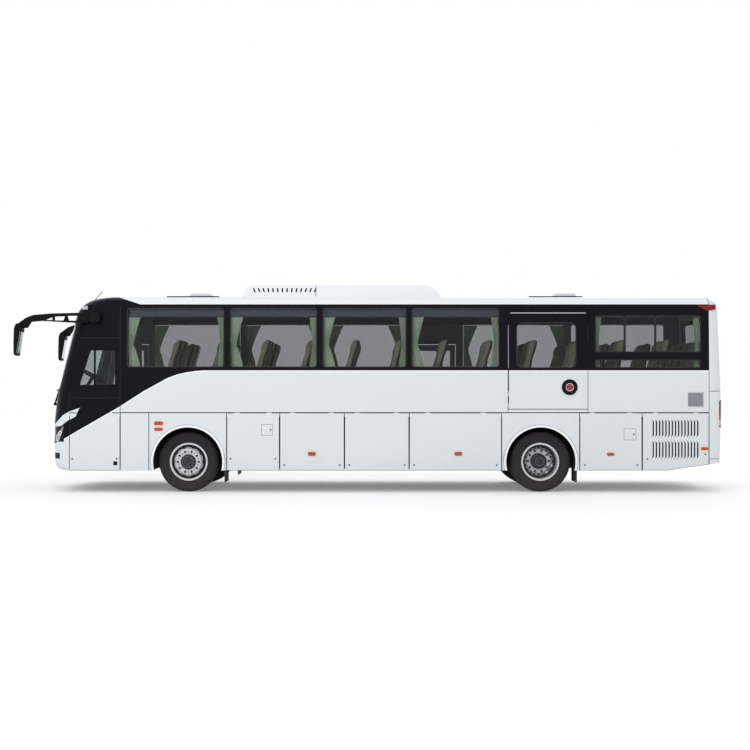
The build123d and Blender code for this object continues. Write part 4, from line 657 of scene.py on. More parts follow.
def puffed(bm):
    """Pad swollen by a short cloth simulation, then brought down to few faces."""
    pad = new_object("pad", as_mesh(bm, "pad"))
    remesh = pad.modifiers.new("voxels", "REMESH")
    remesh.mode = "VOXEL"
    remesh.voxel_size = PAD_VOXEL
    settled(pad)
    start = [v.co.copy() for v in pad.data.vertices]
    cloth = pad.modifiers.new("cloth", "CLOTH")
    cloth.settings.quality = 5
    cloth.settings.use_pressure = True
    cloth.settings.uniform_pressure_force = PAD_PRESSURE
    cloth.settings.effector_weights.gravity = 0
    for number in range(1, PAD_FRAMES + 1):
        scene.frame_set(number)
    settled(pad)
    scene.frame_set(1)
    for v, was in zip(pad.data.vertices, start):
        move = v.co - was
        if move.length > PAD_MOVE:
            v.co = was + move * (PAD_MOVE / move.length)
    fewer = pad.modifiers.new("fewer", "DECIMATE")
    fewer.ratio = min(1.0, PAD_FACES / len(pad.data.polygons))
    settled(pad)
    shape = pad.data
    bpy.data.objects.remove(pad)
    return shape


def seat_places():
    """Seat point x and middle y of every single seat."""
    places = []
    for row in range(SEAT_ROWS):
        x = SEAT_FIRST_X + row * SEAT_PITCH
        by_door = MID_WELL[0] - 0.32 < x < MID_WELL[1] + 0.32
        places += [(x, side * (SEAT_EDGE_Y - k * SEAT_W)) for side in ((-1,) if by_door else (-1, 1))
                   for k in (0.5, 1.5)]
    return places + [(BENCH_X, (k - 2) * BENCH_W) for k in range(5)]


def cloth_finish(name, colour, tint, scale=90, bump=0.0002, rough=0.9):
    """Woven cloth: two crossing waves for the weave over the worn surface's colour."""
    material = finish(name, colour, tint, rough, 0.05, 3.0, 400, 0.0, specular=0.25)
    tree = material.node_tree
    spot = tree.nodes.new("ShaderNodeTexCoord").outputs["Object"]
    waves = []
    for direction in ("X", "Z"):
        wave = add(tree, "ShaderNodeTexWave", Scale=scale, Distortion=0.4, Vector=spot)
        wave.bands_direction = direction
        waves.append(Field(tree, wave.outputs["Fac"]))
    wire(tree.nodes["bumps"], Distance=bump, Height=waves[0] * waves[1])
    wire(tree.nodes["Principled BSDF"], Sheen_Weight=0.3)
    return material


def place_shape(bm, shape, at, stretch=(1.0, 1.0, 1.0)):
    """Adds a copy of a small shape, stretched about its own point and then moved."""
    first = len(bm.verts)
    bm.from_mesh(shape)
    bm.verts.ensure_lookup_table()
    for v in bm.verts[first:]:
        v.co = Vector([c * s + a for c, s, a in zip(v.co, stretch, at)])


def many_pads(name, shape, places, replaced=()):
    """All pads of one kind as one piece, with a dark panel down the front of each."""
    bm = bmesh.new()
    for x, y in places:
        place_shape(bm, shape, (x, y, FLOOR_TOP))
    halves = sorted({y for x, y in places})
    for face in bm.faces:
        middle = face.calc_center_median().y
        y = min(halves, key=lambda h: abs(h - middle))
        face.material_index = 1 if abs(middle - y) < 0.12 and face.normal.x < 0 else 0
    pads = piece(name, bm, seat_cloth, "root", replaced, angle=60)
    pads.data.materials.append(seat_bolster)


seat_cloth = cloth_finish("seat_cloth", "#a3a287", "#918f76")
seat_bolster = cloth_finish("seat_bolster", "#2b2d35", "#1d1f24")
back_shape, squab_shape = puffed(back_pad()), puffed(squab_pad())
ALL_SEATS = seat_places()
many_pads("seat_backs", back_shape, ALL_SEATS, ("seat_cushions",))
many_pads("seat_squabs", squab_shape, ALL_SEATS)


# Driver's seat
# Seat of its own on a taller pedestal behind the wheel, a little wider than the others. Foam pads for the squab
# and the high back, both covered in dark cloth.

DRIVER_AT = (-4.14, -0.74, 1.2)
DRIVER_STRETCH = (1.0, 1.12, 0.97)
driver_cloth = cloth_finish("driver_cloth", "#4a5260", "#3e4553")
driver_pads = bmesh.new()
for shape in (back_shape, squab_shape):
    place_shape(driver_pads, shape, DRIVER_AT, DRIVER_STRETCH)
driver_seat = piece("driver_seat_pads", driver_pads, driver_cloth, "root", angle=60)


# Seat shells, armrests and pedestals
# Black steel pedestals carry the seats, and moulded plastic shells close their backs. A padded armrest lies on
# the aisle side of each pair.

AISLE_OFF, ARMREST_Z = 0.232, FLOOR_TOP + 0.69
# Place along the armrest from the seat's point, half thickness, lift
ARMREST_ROWS = ((-0.2, 0.014, 0.0), (-0.17, 0.022, 0.006), (0.0, 0.024, 0.0), (0.1, 0.022, -0.01),
                (0.14, 0.012, -0.014))


def back_shells():
    bm = bmesh.new()
    for x, y in ALL_SEATS:
        rings = []
        for z, mid, depth, half, _ in BACK_ROWS[:-1]:
            edge, outer, inner = mid + 0.55 * depth, mid + depth + 0.004, mid + depth - 0.004
            line = [(edge, half * 1.01), (outer, half * 0.9), (outer + 0.004, 0.0), (outer, -half * 0.9),
                    (edge, -half * 1.01), (inner, -half * 0.86), (inner + 0.002, 0.0), (inner, half * 0.86)]
            rings.append([(x + u, y + v, FLOOR_TOP + z) for u, v in line])
        loft(bm, rings, caps=True)
    return bm


def armrests():
    bm = bmesh.new()
    for x, y in ALL_SEATS:
        if x == BENCH_X or abs(y) > 0.75:
            continue
        aisle = y - math.copysign(AISLE_OFF, y)
        loft(bm, [[(x + u, aisle + half * 0.9 * c, ARMREST_Z + lift + half * s) for c, s in circle(8)]
                  for u, half, lift in ARMREST_ROWS], caps=True)
    return bm


shell_plastic = finish("shell_plastic", "#2b2b33", "#232329", 0.55, grain=600, bump=0.0003)
piece("seat_shells", back_shells(), shell_plastic, "root")
piece("armrests", armrests(), shell_plastic, "root")
dress(chassis_black, "seat_frames")


# Curtains
# Unlined light green curtains, tied back at both ends of every large window. They hang in box pleats from the
# rail below the luggage rack, draw in at the tie and fall free to the sill.

CURTAIN_TOP, CURTAIN_TIE, CURTAIN_FOOT = 2.782, 2.33, 1.975
CURTAIN_FOLDS, CURTAIN_ROWS, CURTAIN_Y = 6, 26, 1.153
# Hung widths at the rail, the tie and the foot: at a window's front and rear end, and of the rearmost window's
HUNG_FRONT, HUNG_REAR, HUNG_TAIL = (0.19, 0.08, 0.19), (0.11, 0.06, 0.11), (0.1, 0.06, 0.08)
HUNG_RIGHT = (0.26, 0.085, 0.18)
# Where each large window starts and ends along the bus
WINDOW_ENDS = ((-3.88, -2.351), (-2.245, -0.879), (-0.775, 0.542), (0.638, 2.015), (3.552, 5.217))
RIGHT_WINDOW_ENDS = WINDOW_ENDS[:3] + ((1.62, 3.42),)


def curtain_width(z, widths):
    """Hung width at a height: wide at the rail, drawn in at the tie, opening again below it."""
    rail, tie, foot = widths
    if z > CURTAIN_TIE:
        share = (z - CURTAIN_TIE) / (CURTAIN_TOP - CURTAIN_TIE)
        return tie + (rail - tie) * share ** 1.25
    share = (CURTAIN_TIE - z) / (CURTAIN_TIE - CURTAIN_FOOT)
    return tie + (foot - tie) * share ** 0.7


def curtain(name, x_end, inward, side, widths, seed):
    """One curtain from its window's end, inward along X. side is the sign of Y."""
    draw = random.Random(seed)
    phase, sway = draw.uniform(0, 2 * math.pi), draw.uniform(-0.006, 0.006)
    bm = bmesh.new()
    columns = CURTAIN_FOLDS * 8
    grid = []
    for j in range(CURTAIN_ROWS + 1):
        z = CURTAIN_TOP + (CURTAIN_FOOT - CURTAIN_TOP) * j / CURTAIN_ROWS
        width = curtain_width(z, widths)
        deep = 0.0085 + 0.0055 * (0.26 - width) / 0.175
        line = []
        for i in range(columns + 1):
            u = i / columns
            fold = math.sin(2 * math.pi * CURTAIN_FOLDS * u + phase + 1.2 * (z - CURTAIN_TIE))
            lean = sway * (CURTAIN_TOP - z)
            x = x_end + inward * (0.006 + width * (u + 0.018 * math.sin(9 * u + phase)) + lean)
            y = side * (CURTAIN_Y + deep * fold + 0.004 * math.sin(5 * z + 3 * u + phase))
            line.append(bm.verts.new((x, y, z)))
        grid.append(line)
    for a, b in zip(grid, grid[1:]):
        for i in range(columns):
            bm.faces.new((a[i], a[i + 1], b[i + 1], b[i]))
    cloth = piece(name, bm, curtain_cloth, "root", angle=80, outward=False)
    return cloth


curtain_cloth = cloth_finish("curtain_cloth", "#e6fbdf", "#d8f2d0", 50, 0.0003, 0.85)
for side, windows, label in ((-1, WINDOW_ENDS, "left"), (1, RIGHT_WINDOW_ENDS, "right")):
    for k, (x0, x1) in enumerate(windows):
        for x_end, inward, end in ((x0, 1, "front"), (x1, -1, "rear")):
            front = inward > 0
            left_widths = HUNG_TAIL if k == 4 else HUNG_FRONT if front else HUNG_REAR
            widths, seed = HUNG_RIGHT if side > 0 else left_widths, 11 * k + (3 if front else 7)
            curtain(f"curtain_{label}_{k + 1}_{end}", x_end, inward, side, widths, seed)
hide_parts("curtains")


# Luggage racks, dashboard and partition
# Vacuum-formed grey rack linings above the windows with air nozzles. Grained dark dashboard with its binnacle,
# a steering wheel in soft plastic, and a panel behind the driver.

# Painted shade in dark slate, the blue-grey along the windows, and how far out the painted shade reaches
RACK_SHADE, RACK_BLUE, RACK_EDGE_Y = ("#2c2e3b", "#25272f"), ("#5f6d7c", "#566372"), 1.16
NOZZLE_Y, NOZZLE_Z = 0.93, 2.7905


def rack_finish():
    """Blue-grey along the windows, and painted shade in dark slate on the faces towards the aisle and below."""
    material = finish("rack_plastic", *RACK_BLUE, 0.55, grain=420, bump=0.0003, patch=1.5)
    y = place(material.node_tree)[1]
    return recolour(material, mixed(abs(y) > RACK_EDGE_Y, RACK_SHADE, RACK_BLUE))


def button(radius, height, steps=12, facing="Z"):
    """Low turned button about the origin with its face along one axis."""
    bm, rings = bmesh.new(), []
    for h, k in ((0.0, 1.0), (height * 0.7, 1.0), (height, 0.85)):
        flat = [(radius * k * c, radius * k * s) for c, s in circle(steps)]
        rings.append([{"Z": (u, v, -h), "Y": (u, -h, v), "-Y": (u, h, v)}[facing] for u, v in flat])
    loft(bm, rings, caps=True)
    return bm


dash_plastic = finish("dash_plastic", "#2e2f33", "#26272a", 0.6, grain=700, bump=0.0006)
nozzle_black = finish("nozzle_black", "#0e0e11", "#0a0a0c", 0.4, grain=300, specular=0.12)
dress(rack_finish(), "luggage_racks")
dress(dash_plastic, "dashboard", "steering_wheel")
nozzles = bmesh.new()
for y in (-NOZZLE_Y, NOZZLE_Y):
    for dx in (-0.05, 0.05):
        repeated(nozzles, button(0.024, 0.014), nozzle_black, SEAT_ROWS, (SEAT_FIRST_X + dx, y, NOZZLE_Z),
                 (SEAT_PITCH, 0.0, 0.0))
piece("air_nozzles", nozzles, nozzle_black, "root")


# Body shell and paint
# Steel and glass-fibre skin in white with a clear coat. A gloss black sweep rises from the nose below the
# driver's window into the window band, and the black dome runs a little way onto the roof.

# Points in X and Z of the black sweep's lower edge, and of the white blade's top and foot
SWEEP = ((-5.3, 0.745), (-5.1, 0.76), (-4.96, 0.80), (-4.801, 0.896), (-4.001, 1.358), (-3.621, 1.602),
         (-3.242, 1.810), (-3.09, 1.868), (-2.94, 1.901), (-2.8, 1.922), (-2.654, 1.932), (-2.6, 1.932))
BLADE_TOP = ((-5.3, 1.0), (-5.15, 1.03), (-5.01, 1.12), (-4.9, 1.226), (-4.8, 1.278), (-4.64, 1.337),
             (-2.6, 1.337))
BLADE_FOOT = ((-5.3, 0.86), (-5.15, 0.89), (-5.0, 0.985), (-4.95, 1.04), (-4.84, 1.126), (-4.7, 1.2),
              (-4.64, 1.335), (-2.6, 1.337))
CURVE_X, CURVE_Z = (-5.3, -2.6), (0.6, 2.2)
# The blade ends at this x, and on the nose it tapers to nothing from 0.9 m out to 0.25 m
BLADE_END_X, BLADE_TAPER = -4.62, (0.25, 0.65)
# A white line of this height runs below the sweep, up to the belt
SWEEP_LINE, BELT_Z = 0.017, 1.95
ROOF_LINE_Z, DOME_X, DOME_LEAN = 2.982, -3.677, 3.0
REAR_SEAM_X = 5.352
# Panel returns and grille slots are black as painted shade in the gaps and slots. Fog lamp bezels, hatch kerbs,
# fan rims, the emergency handle's dish, the sealed joints between panels and the bare plate places are black.
# A zone is its limits on X, on Y and on Z: limits on Y below zero hold for the left side alone, and others for
# the distance from the middle.
BLACK_AND_SHADE_ZONES = (
    # First zone: faces behind the skin below the belt, black as painted shade in the panel gaps and grille
    # slots
    ((-4.80, 5.349), (1.1, 1.2485), (0.3, 1.2642)), ((-5.3, -4.962), (0.72, 1.3), (0.528, 0.622)),
    ((-3.4, -2.3), (0.0, 0.6), (3.153, 3.1801)), ((2.6, 4.0), (0.0, 0.6), (3.153, 3.1801)),
    ((-2.0, -0.9), (0.0, 0.7), (3.3182, 3.4)), ((3.01, 3.266), (1.2503, 1.3), (1.537, 1.793)),
    ((5.3465, 5.3545), (1.2, 1.3), (0.43, 1.93)), ((5.3465, 5.3545), (0.0, 1.3), (2.98, 3.2)),
    ((-3.997, -3.987), (1.2, 1.3), (1.26, 1.42)), ((-3.99, 5.352), (1.2, 1.3), (1.2615, 1.2685)),
    ((-5.3, -5.05), (0.0, 0.262), (0.628, 0.752)), ((5.5, 5.7), (0.0, 0.262), (0.738, 0.882)),
    ((2.1565, 2.1645), (-1.3, -1.2), (1.264, 1.94)), ((3.4245, 3.4325), (-1.3, -1.2), (1.264, 1.94)),
    ((5.356, 5.7), (1.15, 1.3), (1.5995, 1.6065)), ((5.356, 5.7), (1.15, 1.3), (0.525, 0.531)),
)
# The engine's air vent, the joint across the roof unit and the emergency door's lower joint are grey
GREY_ZONES = (
    ((5.02, 5.256), (1.2, 1.2495), (1.365, 1.575)), ((-0.911, -0.897), (0.0, 1.0), (3.13, 3.33)),
    ((2.1645, 3.4245), (-1.3, -1.2), (1.316, 1.324)),
)
# Radii of a wheel arch's lip: its white face and its grey edge, both on skin at least this far out
LIP_FACE, LIP_EDGE, SKIN_FROM_Y = (0.549, 0.585), (0.585, 0.5935), 1.2
# Joints within the black of the nose catch a little light
NOSE_GROOVES = (
    ((-4.76, -3.99), (1.0, 1.3), (1.488, 1.498)), ((-4.63, -3.99), (1.0, 1.3), (2.446, 2.454)),
    ((-4.0, -3.99), (1.0, 1.3), (1.37, 2.95)), ((-4.802, -4.796), (1.0, 1.3), (0.9, 1.6)),
)
# Black frame of the rear window: limits on Z, how far out it reaches and where it begins along X
TAIL_FRAME_Z, TAIL_FRAME_Y, TAIL_FRAME_X = (1.90, 2.83), 1.02, 5.45
# Grey lining inside: how far a face turns to the middle or down, and where walls and ceiling are
WALL_TURN, WALL_Z, CEILING_TURN, CEILING_Z, CEILING_Y = -0.45, (1.3, 3.0), -0.5, 2.9, 1.15
PAINT_BLACK = ("#0b0b12", "#0f0e17")
GROOVE_GREY, VENT_GREY, LINE_WHITE, LINING_GREY = "#2b2a36", "#a3a5af", "#fdfeff", "#7b7d8a"
LOWER_DOORS = (
    "front_locker_door_left", "service_door_left", "luggage_door_left_1", "luggage_door_left_2",
    "luggage_door_left_3", "rear_service_door_left", "radiator_door_left", "luggage_door_right_1",
    "luggage_door_right_2", "rear_service_door_right",
)


def height_line(x, points):
    """Height of a painted edge at each x, in straight runs through a few points."""
    node = x.tree.nodes.new("ShaderNodeFloatCurve")
    curve = node.mapping.curves[0]
    placed = [((px - CURVE_X[0]) / (CURVE_X[1] - CURVE_X[0]), (pz - CURVE_Z[0]) / (CURVE_Z[1] - CURVE_Z[0]))
              for px, pz in points]
    curve.points[0].location, curve.points[1].location = placed[0], placed[-1]
    for spot in placed[1:-1]:
        curve.points.new(*spot)
    for point in curve.points:
        point.handle_type = "VECTOR"
    node.mapping.update()
    share = add(x.tree, "ShaderNodeMapRange", Value=x, From_Min=CURVE_X[0], From_Max=CURVE_X[1])
    wire(node, Value=share.outputs[0])
    return Field(x.tree, node.outputs[0]) * (CURVE_Z[1] - CURVE_Z[0]) + CURVE_Z[0]


def in_zones(x, y, z, zones):
    """1 inside any of some boxes."""
    found = None
    for on_x, on_y, on_z in zones:
        inside = x.between(*on_x) * (y if on_y[0] < 0 else abs(y)).between(*on_y) * z.between(*on_z)
        found = found | inside if found else inside
    return found


def livery_group():
    """Which paint lies at each point of the body, black also standing as painted shade in panel gaps and slots.
    """
    names = ("Black", "Line", "Screen", "Groove")
    tree, put, out = new_group("two_colour_paint", "ShaderNodeTree", (("Roof Line", "Float", ROOF_LINE_Z),),
                               [(name, "Float") for name in names])
    x, y, z = place(tree)
    across, over = abs(y), z - put["Roof Line"]
    edge = height_line(x, SWEEP)
    swept = z > edge
    top, foot = height_line(x, BLADE_TOP), height_line(x, BLADE_FOOT)
    taper = ((across - BLADE_TAPER[0]) / BLADE_TAPER[1]).limited()
    blade = (abs(z - (top + foot) * 0.5) < (top - foot) * 0.5 * taper) * (x < BLADE_END_X)
    roof_part = over > 0.0
    dome = (x + over * DOME_LEAN < DOME_X) * roof_part
    black = ((swept - blade).limited() * (1.0 - roof_part) + dome) * (x < REAR_SEAM_X + 0.002)
    frame = z.between(*TAIL_FRAME_Z) * (across < TAIL_FRAME_Y) * (x > TAIL_FRAME_X)
    # Black takes in the painted shade of the panel returns and grille slots
    black = black | frame | in_zones(x, y, z, BLACK_AND_SHADE_ZONES)
    line = ((z > edge - SWEEP_LINE) - swept).limited() * (z < BELT_Z) * (x < REAR_SEAM_X)
    screen = in_zones(x, y, z, GREY_ZONES)
    for axle_x in (FRONT_AXLE_X, REAR_AXLE_X):
        far, side_on = distance(x - axle_x, z - AXLE_Z), across > SKIN_FROM_Y
        line = line | side_on * far.between(*LIP_FACE)
        screen = screen | side_on * far.between(*LIP_EDGE)
    wire(out, **dict(zip(names, (black, line, screen, in_zones(x, y, z, NOSE_GROOVES)))))
    return tree


def inner_face(tree):
    """1 on the faces that look into the cabin, where the shell is lined."""
    _, y, z = place(tree)
    turn = add(tree, "ShaderNodeSeparateXYZ", Vector=tree.nodes.new("ShaderNodeTexCoord").outputs["Normal"])
    wall = (y * turn.outputs["Y"] < WALL_TURN) * z.between(*WALL_Z)
    ceiling = (Field(tree, turn.outputs["Z"]) < CEILING_TURN) * (z > CEILING_Z) * (abs(y) < CEILING_Y)
    return wall | ceiling


def painted(name, white, tint):
    """Clear-coated body paint in the two colours, with faint orange peel, painted shade in panel gaps and grey
    lining on the cabin side.
    """
    material = finish(name, white, tint, 0.3, 0.06, 0.8, 90, 0.00008, coat=0.03, dust=0.12, dust_height=0.9,
                      specular=0.07)
    tree = material.node_tree
    paint = tree.nodes.new("ShaderNodeGroup")
    paint.node_tree = two_colours
    black, line, screen, groove = (Field(tree, socket) for socket in paint.outputs)
    pale = mixed(screen, mixed(line, (white, tint), LINE_WHITE), VENT_GREY)
    dark = mixed(groove, PAINT_BLACK, GROOVE_GREY)
    return recolour(material, mixed(inner_face(tree), mixed(black, pale, dark), LINING_GREY))


two_colours = livery_group()
body_paint = painted("body_paint", "#e8ecf0", "#e2e7ec")
roof_paint = painted("roof_paint", "#f1f4f7", "#ebeff3")
dress(body_paint, "front_mask", "side_wall_left", "side_wall_right", "rear_cap", "engine_hatch", "lower_panels",
      "front_door_leaf", "mid_door_leaf", "emergency_door", *LOWER_DOORS)
dress(roof_paint, "roof_shell", "roof_hatch_lid_front", "roof_hatch_lid_rear", "roof_ac_unit")


# Glass
# Grey tinted safety glass and a paler, greener windscreen, bonded flush into the body. A soft black rubber bead
# fills the joint round every side window, and the middle door's and emergency door's panes have their own.

# Height, and half width of the outer skin there
SIDE_ROWS = ((0.0, 1.25), (1.597, 1.25), (2.673, 1.224), (2.82, 1.2205), (2.9, 1.2185), (2.982, 1.2165))
BIG_PANE, TAIL_PANE = (1.987, 2.92, 0.04), (2.227, 2.801, 0.025)
# Side, x from, x to, z from, z to, radius
PANES = [(-1, *ends, *BIG_PANE) for ends in WINDOW_ENDS[:4]]
PANES += [(1, *ends, *BIG_PANE) for ends in RIGHT_WINDOW_ENDS]
PANES += [(-1, *ends, *TAIL_PANE) for ends in ((3.552, 4.005), (4.025, 4.492), (4.512, 5.217))]
PANES += [(-1, 3.552, 5.217, 1.978, 2.098, 0.025), (1, 3.552, 5.217, 1.987, 2.801, 0.04)]


def glass_finish(name, tint, patch_tint, lets_in=0.97):
    """Clear tinted pane. lets_in is the share of lamp light that passes each of its faces."""
    material = finish(name, tint, patch_tint, 0.0, 0.01, 0.6, 20, 0.0, specular=0.0)
    tree = material.node_tree
    tree.nodes.remove(tree.nodes["bumps"])
    shadow = Field(tree, tree.nodes.new("ShaderNodeLightPath").outputs["Is Shadow Ray"])
    wire(tree.nodes["Principled BSDF"], Transmission_Weight=1.0, IOR=1.25, Alpha=1.0 - shadow * lets_in)
    return material


def side_y(z):
    """Half width of the outer skin at a height."""
    for (z0, y0), (z1, y1) in zip(SIDE_ROWS, SIDE_ROWS[1:]):
        if z <= z1:
            return y0 + (y1 - y0) * (z - z0) / (z1 - z0)
    return SIDE_ROWS[-1][1]


def rounded_outline(x0, x1, z0, z1, r, steps=5):
    """Points of a rectangle with round corners, anticlockwise in X and Z."""
    points = []
    for cx, cz, a0 in ((x1 - r, z1 - r, 0), (x0 + r, z1 - r, 90), (x0 + r, z0 + r, 180), (x1 - r, z0 + r, 270)):
        turns = [math.radians(a0 + 90 * i / steps) for i in range(steps + 1)]
        points += [(cx + r * math.cos(a), cz + r * math.sin(a)) for a in turns]
    return points


def bead(bm, outline, place, half=0.007, proud=0.0015, sunk=0.004, closed=True):
    """Low strip along an outline in X and Z. place turns (x, z, out) into a point on the skin."""
    count = len(outline)
    rings = []
    for i in range(count):
        before, after = (i - 1, (i + 1) % count) if closed else (max(i - 1, 0), min(i + 1, count - 1))
        (ax, az), (bx, bz) = outline[before], outline[after]
        tx, tz = bx - ax, bz - az
        size = math.hypot(tx, tz) or 1.0
        nx, nz = tz / size, -tx / size
        x, z = outline[i]
        rings.append([place(x + k * half * nx, z + k * half * nz, out) for k, out in (
            (-1, -sunk), (-1, proud * 0.5), (0, proud), (1, proud * 0.5), (1, -sunk))])
    loft(bm, rings, closed=closed, caps=not closed)


def on_side(side):
    return lambda x, z, out: (x, side * (side_y(z) + out), z)


dress(glass_finish("tinted_glass", "#b8b8bb", "#b4b4b7"), "body_glass", "front_door_glass", "mid_door_glass",
      "emergency_door_glass")
dress(glass_finish("screen_glass", "#d3e0dc", "#cbdad5"), "windscreen")
# Black rubber for the window beads, also used for the painted shade along the lower doors' shut lines
black_seals_and_shade = finish("black_seals_and_shade", "#141416", "#0e0e10", 0.6, grain=400, bump=0.0003)
beads = bmesh.new()
for side, *pane in PANES:
    bead(beads, rounded_outline(*pane), on_side(side))
piece("window_beads", beads, black_seals_and_shade, "root")


# Doors for people
# Right-hand doors swing out on two bent arms, and the emergency door of the left side hangs on its front edge.
# Rubber beads hold their panes, the handles are moulded, and the emergency handle sits in a ringed dish.

HANDLE_AT = (3.138, -1.25, 1.665)
GRAB_Z, GRAB_OFF = (1.08, 1.8), 0.05
MID_DOOR_PANE, FRONT_DOOR_EDGE = (*MID_WELL, 2.45), -3.991
# Turned parts of the emergency handle: name, (outboard, radius) points, steps
HANDLE_PARTS = (
    ("dish", [(0.0035, 0.0), (0.0048, 0.0), (0.0048, 0.1), (0.008, 0.103), (0.0098, 0.106), (0.0102, 0.115),
              (0.009, 0.1255), (0.003, 0.1262)], 64),
    ("ring", [(0.0112, 0.052), (0.0122, 0.054), (0.0122, 0.062), (0.0112, 0.064), (0.0045, 0.0645),
              (0.0045, 0.0515)], 48),
    ("pull", [(0.0045, 0.0), (0.0125, 0.0), (0.0128, 0.03), (0.0112, 0.046), (0.0045, 0.048)], 48),
)


def pane_corners(x0, x1, top):
    """Corners of a passenger door's pane, a few points on each edge."""
    low, bend, high = 1.10, 1.5, top - 0.11
    corners = [(x0 + 0.1, low), (x1 - 0.09, low), (x1 - 0.09, high), (x0 + 0.1, high), (x0 + 0.1, bend)]
    return [(ax + (bx - ax) * k / 4, az + (bz - az) * k / 4)
            for (ax, az), (bx, bz) in zip(corners, corners[1:] + corners[:1]) for k in range(4)]


def bar_in(bm, start, end, radius):
    """Round bar between two points, with eased ends."""
    a, b = Vector(start), Vector(end)
    axis = (b - a).normalized()
    side = axis.orthogonal().normalized()
    other = axis.cross(side)
    loft(bm, [[a.lerp(b, at) + radius * k * (c * side + s * other) for c, s in circle(10)]
              for at, k in ((0.0, 0.7), (0.06, 1.0), (0.94, 1.0), (1.0, 0.7))], caps=True)


def grab_handle(x):
    """Upright pull handle on a leaf's inner face."""
    bm = bmesh.new()
    z0, z1 = GRAB_Z
    y = side_y(z0) - 0.047
    bar_in(bm, (x, y - GRAB_OFF, z0), (x, y - GRAB_OFF, z1), 0.014)
    for z in (z0 + 0.03, z1 - 0.03):
        bar_in(bm, (x, y + 0.003, z), (x, y - GRAB_OFF, z), 0.011)
    return bm


handle_red = finish("handle_red", "#b3141c", "#9c1018", 0.35, grain=400, coat=0.3)
ring_light = finish("ring_light", "#cfd3d7", "#c0c5ca", 0.4, grain=300)
grab_yellow = finish("grab_yellow", "#d0a52c", "#bf9522", 0.45, grain=500)
for label, edge_x in (("front_door", FRONT_DOOR_EDGE), ("mid_door", MID_DOOR_PANE[1])):
    piece(label + "_handle", grab_handle(edge_x - 0.045), grab_yellow, label)
for label, side, outline in (("mid_door", 1, pane_corners(*MID_DOOR_PANE)),
                             ("emergency_door", -1, rounded_outline(2.3, 3.24, 1.975, 2.69, 0.09))):
    seal = bmesh.new()
    bead(seal, outline, on_side(side))
    piece(label + "_bead", seal, black_seals_and_shade, label)
for (label, profile, steps), material, slot in zip(HANDLE_PARTS, (nozzle_black, ring_light, handle_red),
                                                   ("black_plastic", "rim_paint", "red_lens")):
    part = bmesh.new()
    turned(part, profile, HANDLE_AT, steps)
    piece("handle_" + label, part, material, "emergency_door")
rail, posts = bmesh.new(), bmesh.new()
box_in(rail, (2.2, -1.228, 2.838), (3.4, -1.217, 2.85), 0.002)
piece("rain_rail", rail, ring_light, "emergency_door")
for x0, x1 in ((0.594, 0.690), (1.490, 1.562)):
    box_in(posts, (x0, 1.208, 0.346), (x1, 1.2498, 1.2625), 0.003)
piece("mid_door_posts", posts, body_paint, "root")
dress(chassis_black, "front_door_arm", "mid_door_arm")


# Lower doors' fittings
# Round cam locks in the doors and filler flaps, amber side markers with a ribbed lens in a black foot, and a
# black cover over the towing eye's socket. A thin black strip of painted shade edges each door, but for its
# hinged top.

SKIN_Y, LENS_Y = 1.2497, 1.2615
FRONT_LOCKS, MIDDLE_LOCKS = ((-1.39, 0.43), (-0.51, 0.43)), ((-0.36, 0.43), (0.52, 0.43))
REAR_LOCKS = ((3.38, 0.43), (4.21, 0.43))
# Door, and x and z of each of its locks
LOCKS = (
    ("front_locker_door_left", ((-4.752, 0.528), (-4.047, 0.534))),
    ("radiator_door_left", ((4.372, 0.526), (5.29, 0.603))),
    ("service_door_left", ((-1.607, 0.988), (-2.24, 0.53), (-1.53, 0.53))),
    ("rear_service_door_left", ((4.154, 0.917), *REAR_LOCKS)),
    ("luggage_door_left_1", FRONT_LOCKS), ("luggage_door_left_2", MIDDLE_LOCKS),
    ("luggage_door_left_3", ((0.67, 0.43), (1.98, 0.43))),
    ("luggage_door_right_1", FRONT_LOCKS), ("luggage_door_right_2", MIDDLE_LOCKS),
    ("rear_service_door_right", REAR_LOCKS),
)
FRONT_LENS, MIDDLE_LENS = (-1.013, -0.89, 0.58, 0.639), (1.312, 1.43, 0.58, 0.639)
REAR_LENS, TAIL_LENS = (3.73, 3.843, 0.577, 0.626), (5.221, 5.332, 0.669, 0.712)
# Door, and x from, x to, z from and z to of its marker
DOOR_MARKERS = (
    ("luggage_door_left_1", FRONT_LENS), ("luggage_door_left_3", MIDDLE_LENS),
    ("rear_service_door_left", REAR_LENS), ("radiator_door_left", TAIL_LENS),
    ("luggage_door_right_1", FRONT_LENS), ("rear_service_door_right", REAR_LENS),
    ("lower_panels_right", TAIL_LENS),
)
# The radiator door's foot rises from this x to this height at its rear end
TAIL_RISE = (4.678, 0.437)
# A strip stops this far below the door's top, and runs this far inside its edges
EDGE_STOP, EDGE_INSET = 0.06, 0.004
AMBER, CLEAR_LENS, CLEAR_ABOVE_Z = ("#cf5a12", "#bd4d0c"), ("#c4c9ce", "#b2b8be"), 2.0


def side_of(body):
    return 1 if "right" in body else -1


def lens_cap(x0, x1, z0, z1, side):
    """Ribbed lens over a marker's raised foot."""
    bm = bmesh.new()
    outline = rounded_outline(x0 - 0.001, x1 + 0.001, z0 - 0.001, z1 + 0.001, 0.02, 4)
    mx, mz = (x0 + x1) / 2, (z0 + z1) / 2
    loft(bm, [[(mx + (x - mx) * k, side * (LENS_Y + out), mz + (z - mz) * k) for x, z in outline]
              for out, k in ((-0.006, 1.0), (0.001, 1.0), (0.0035, 0.9), (0.0042, 0.55))], caps=True)
    return bm


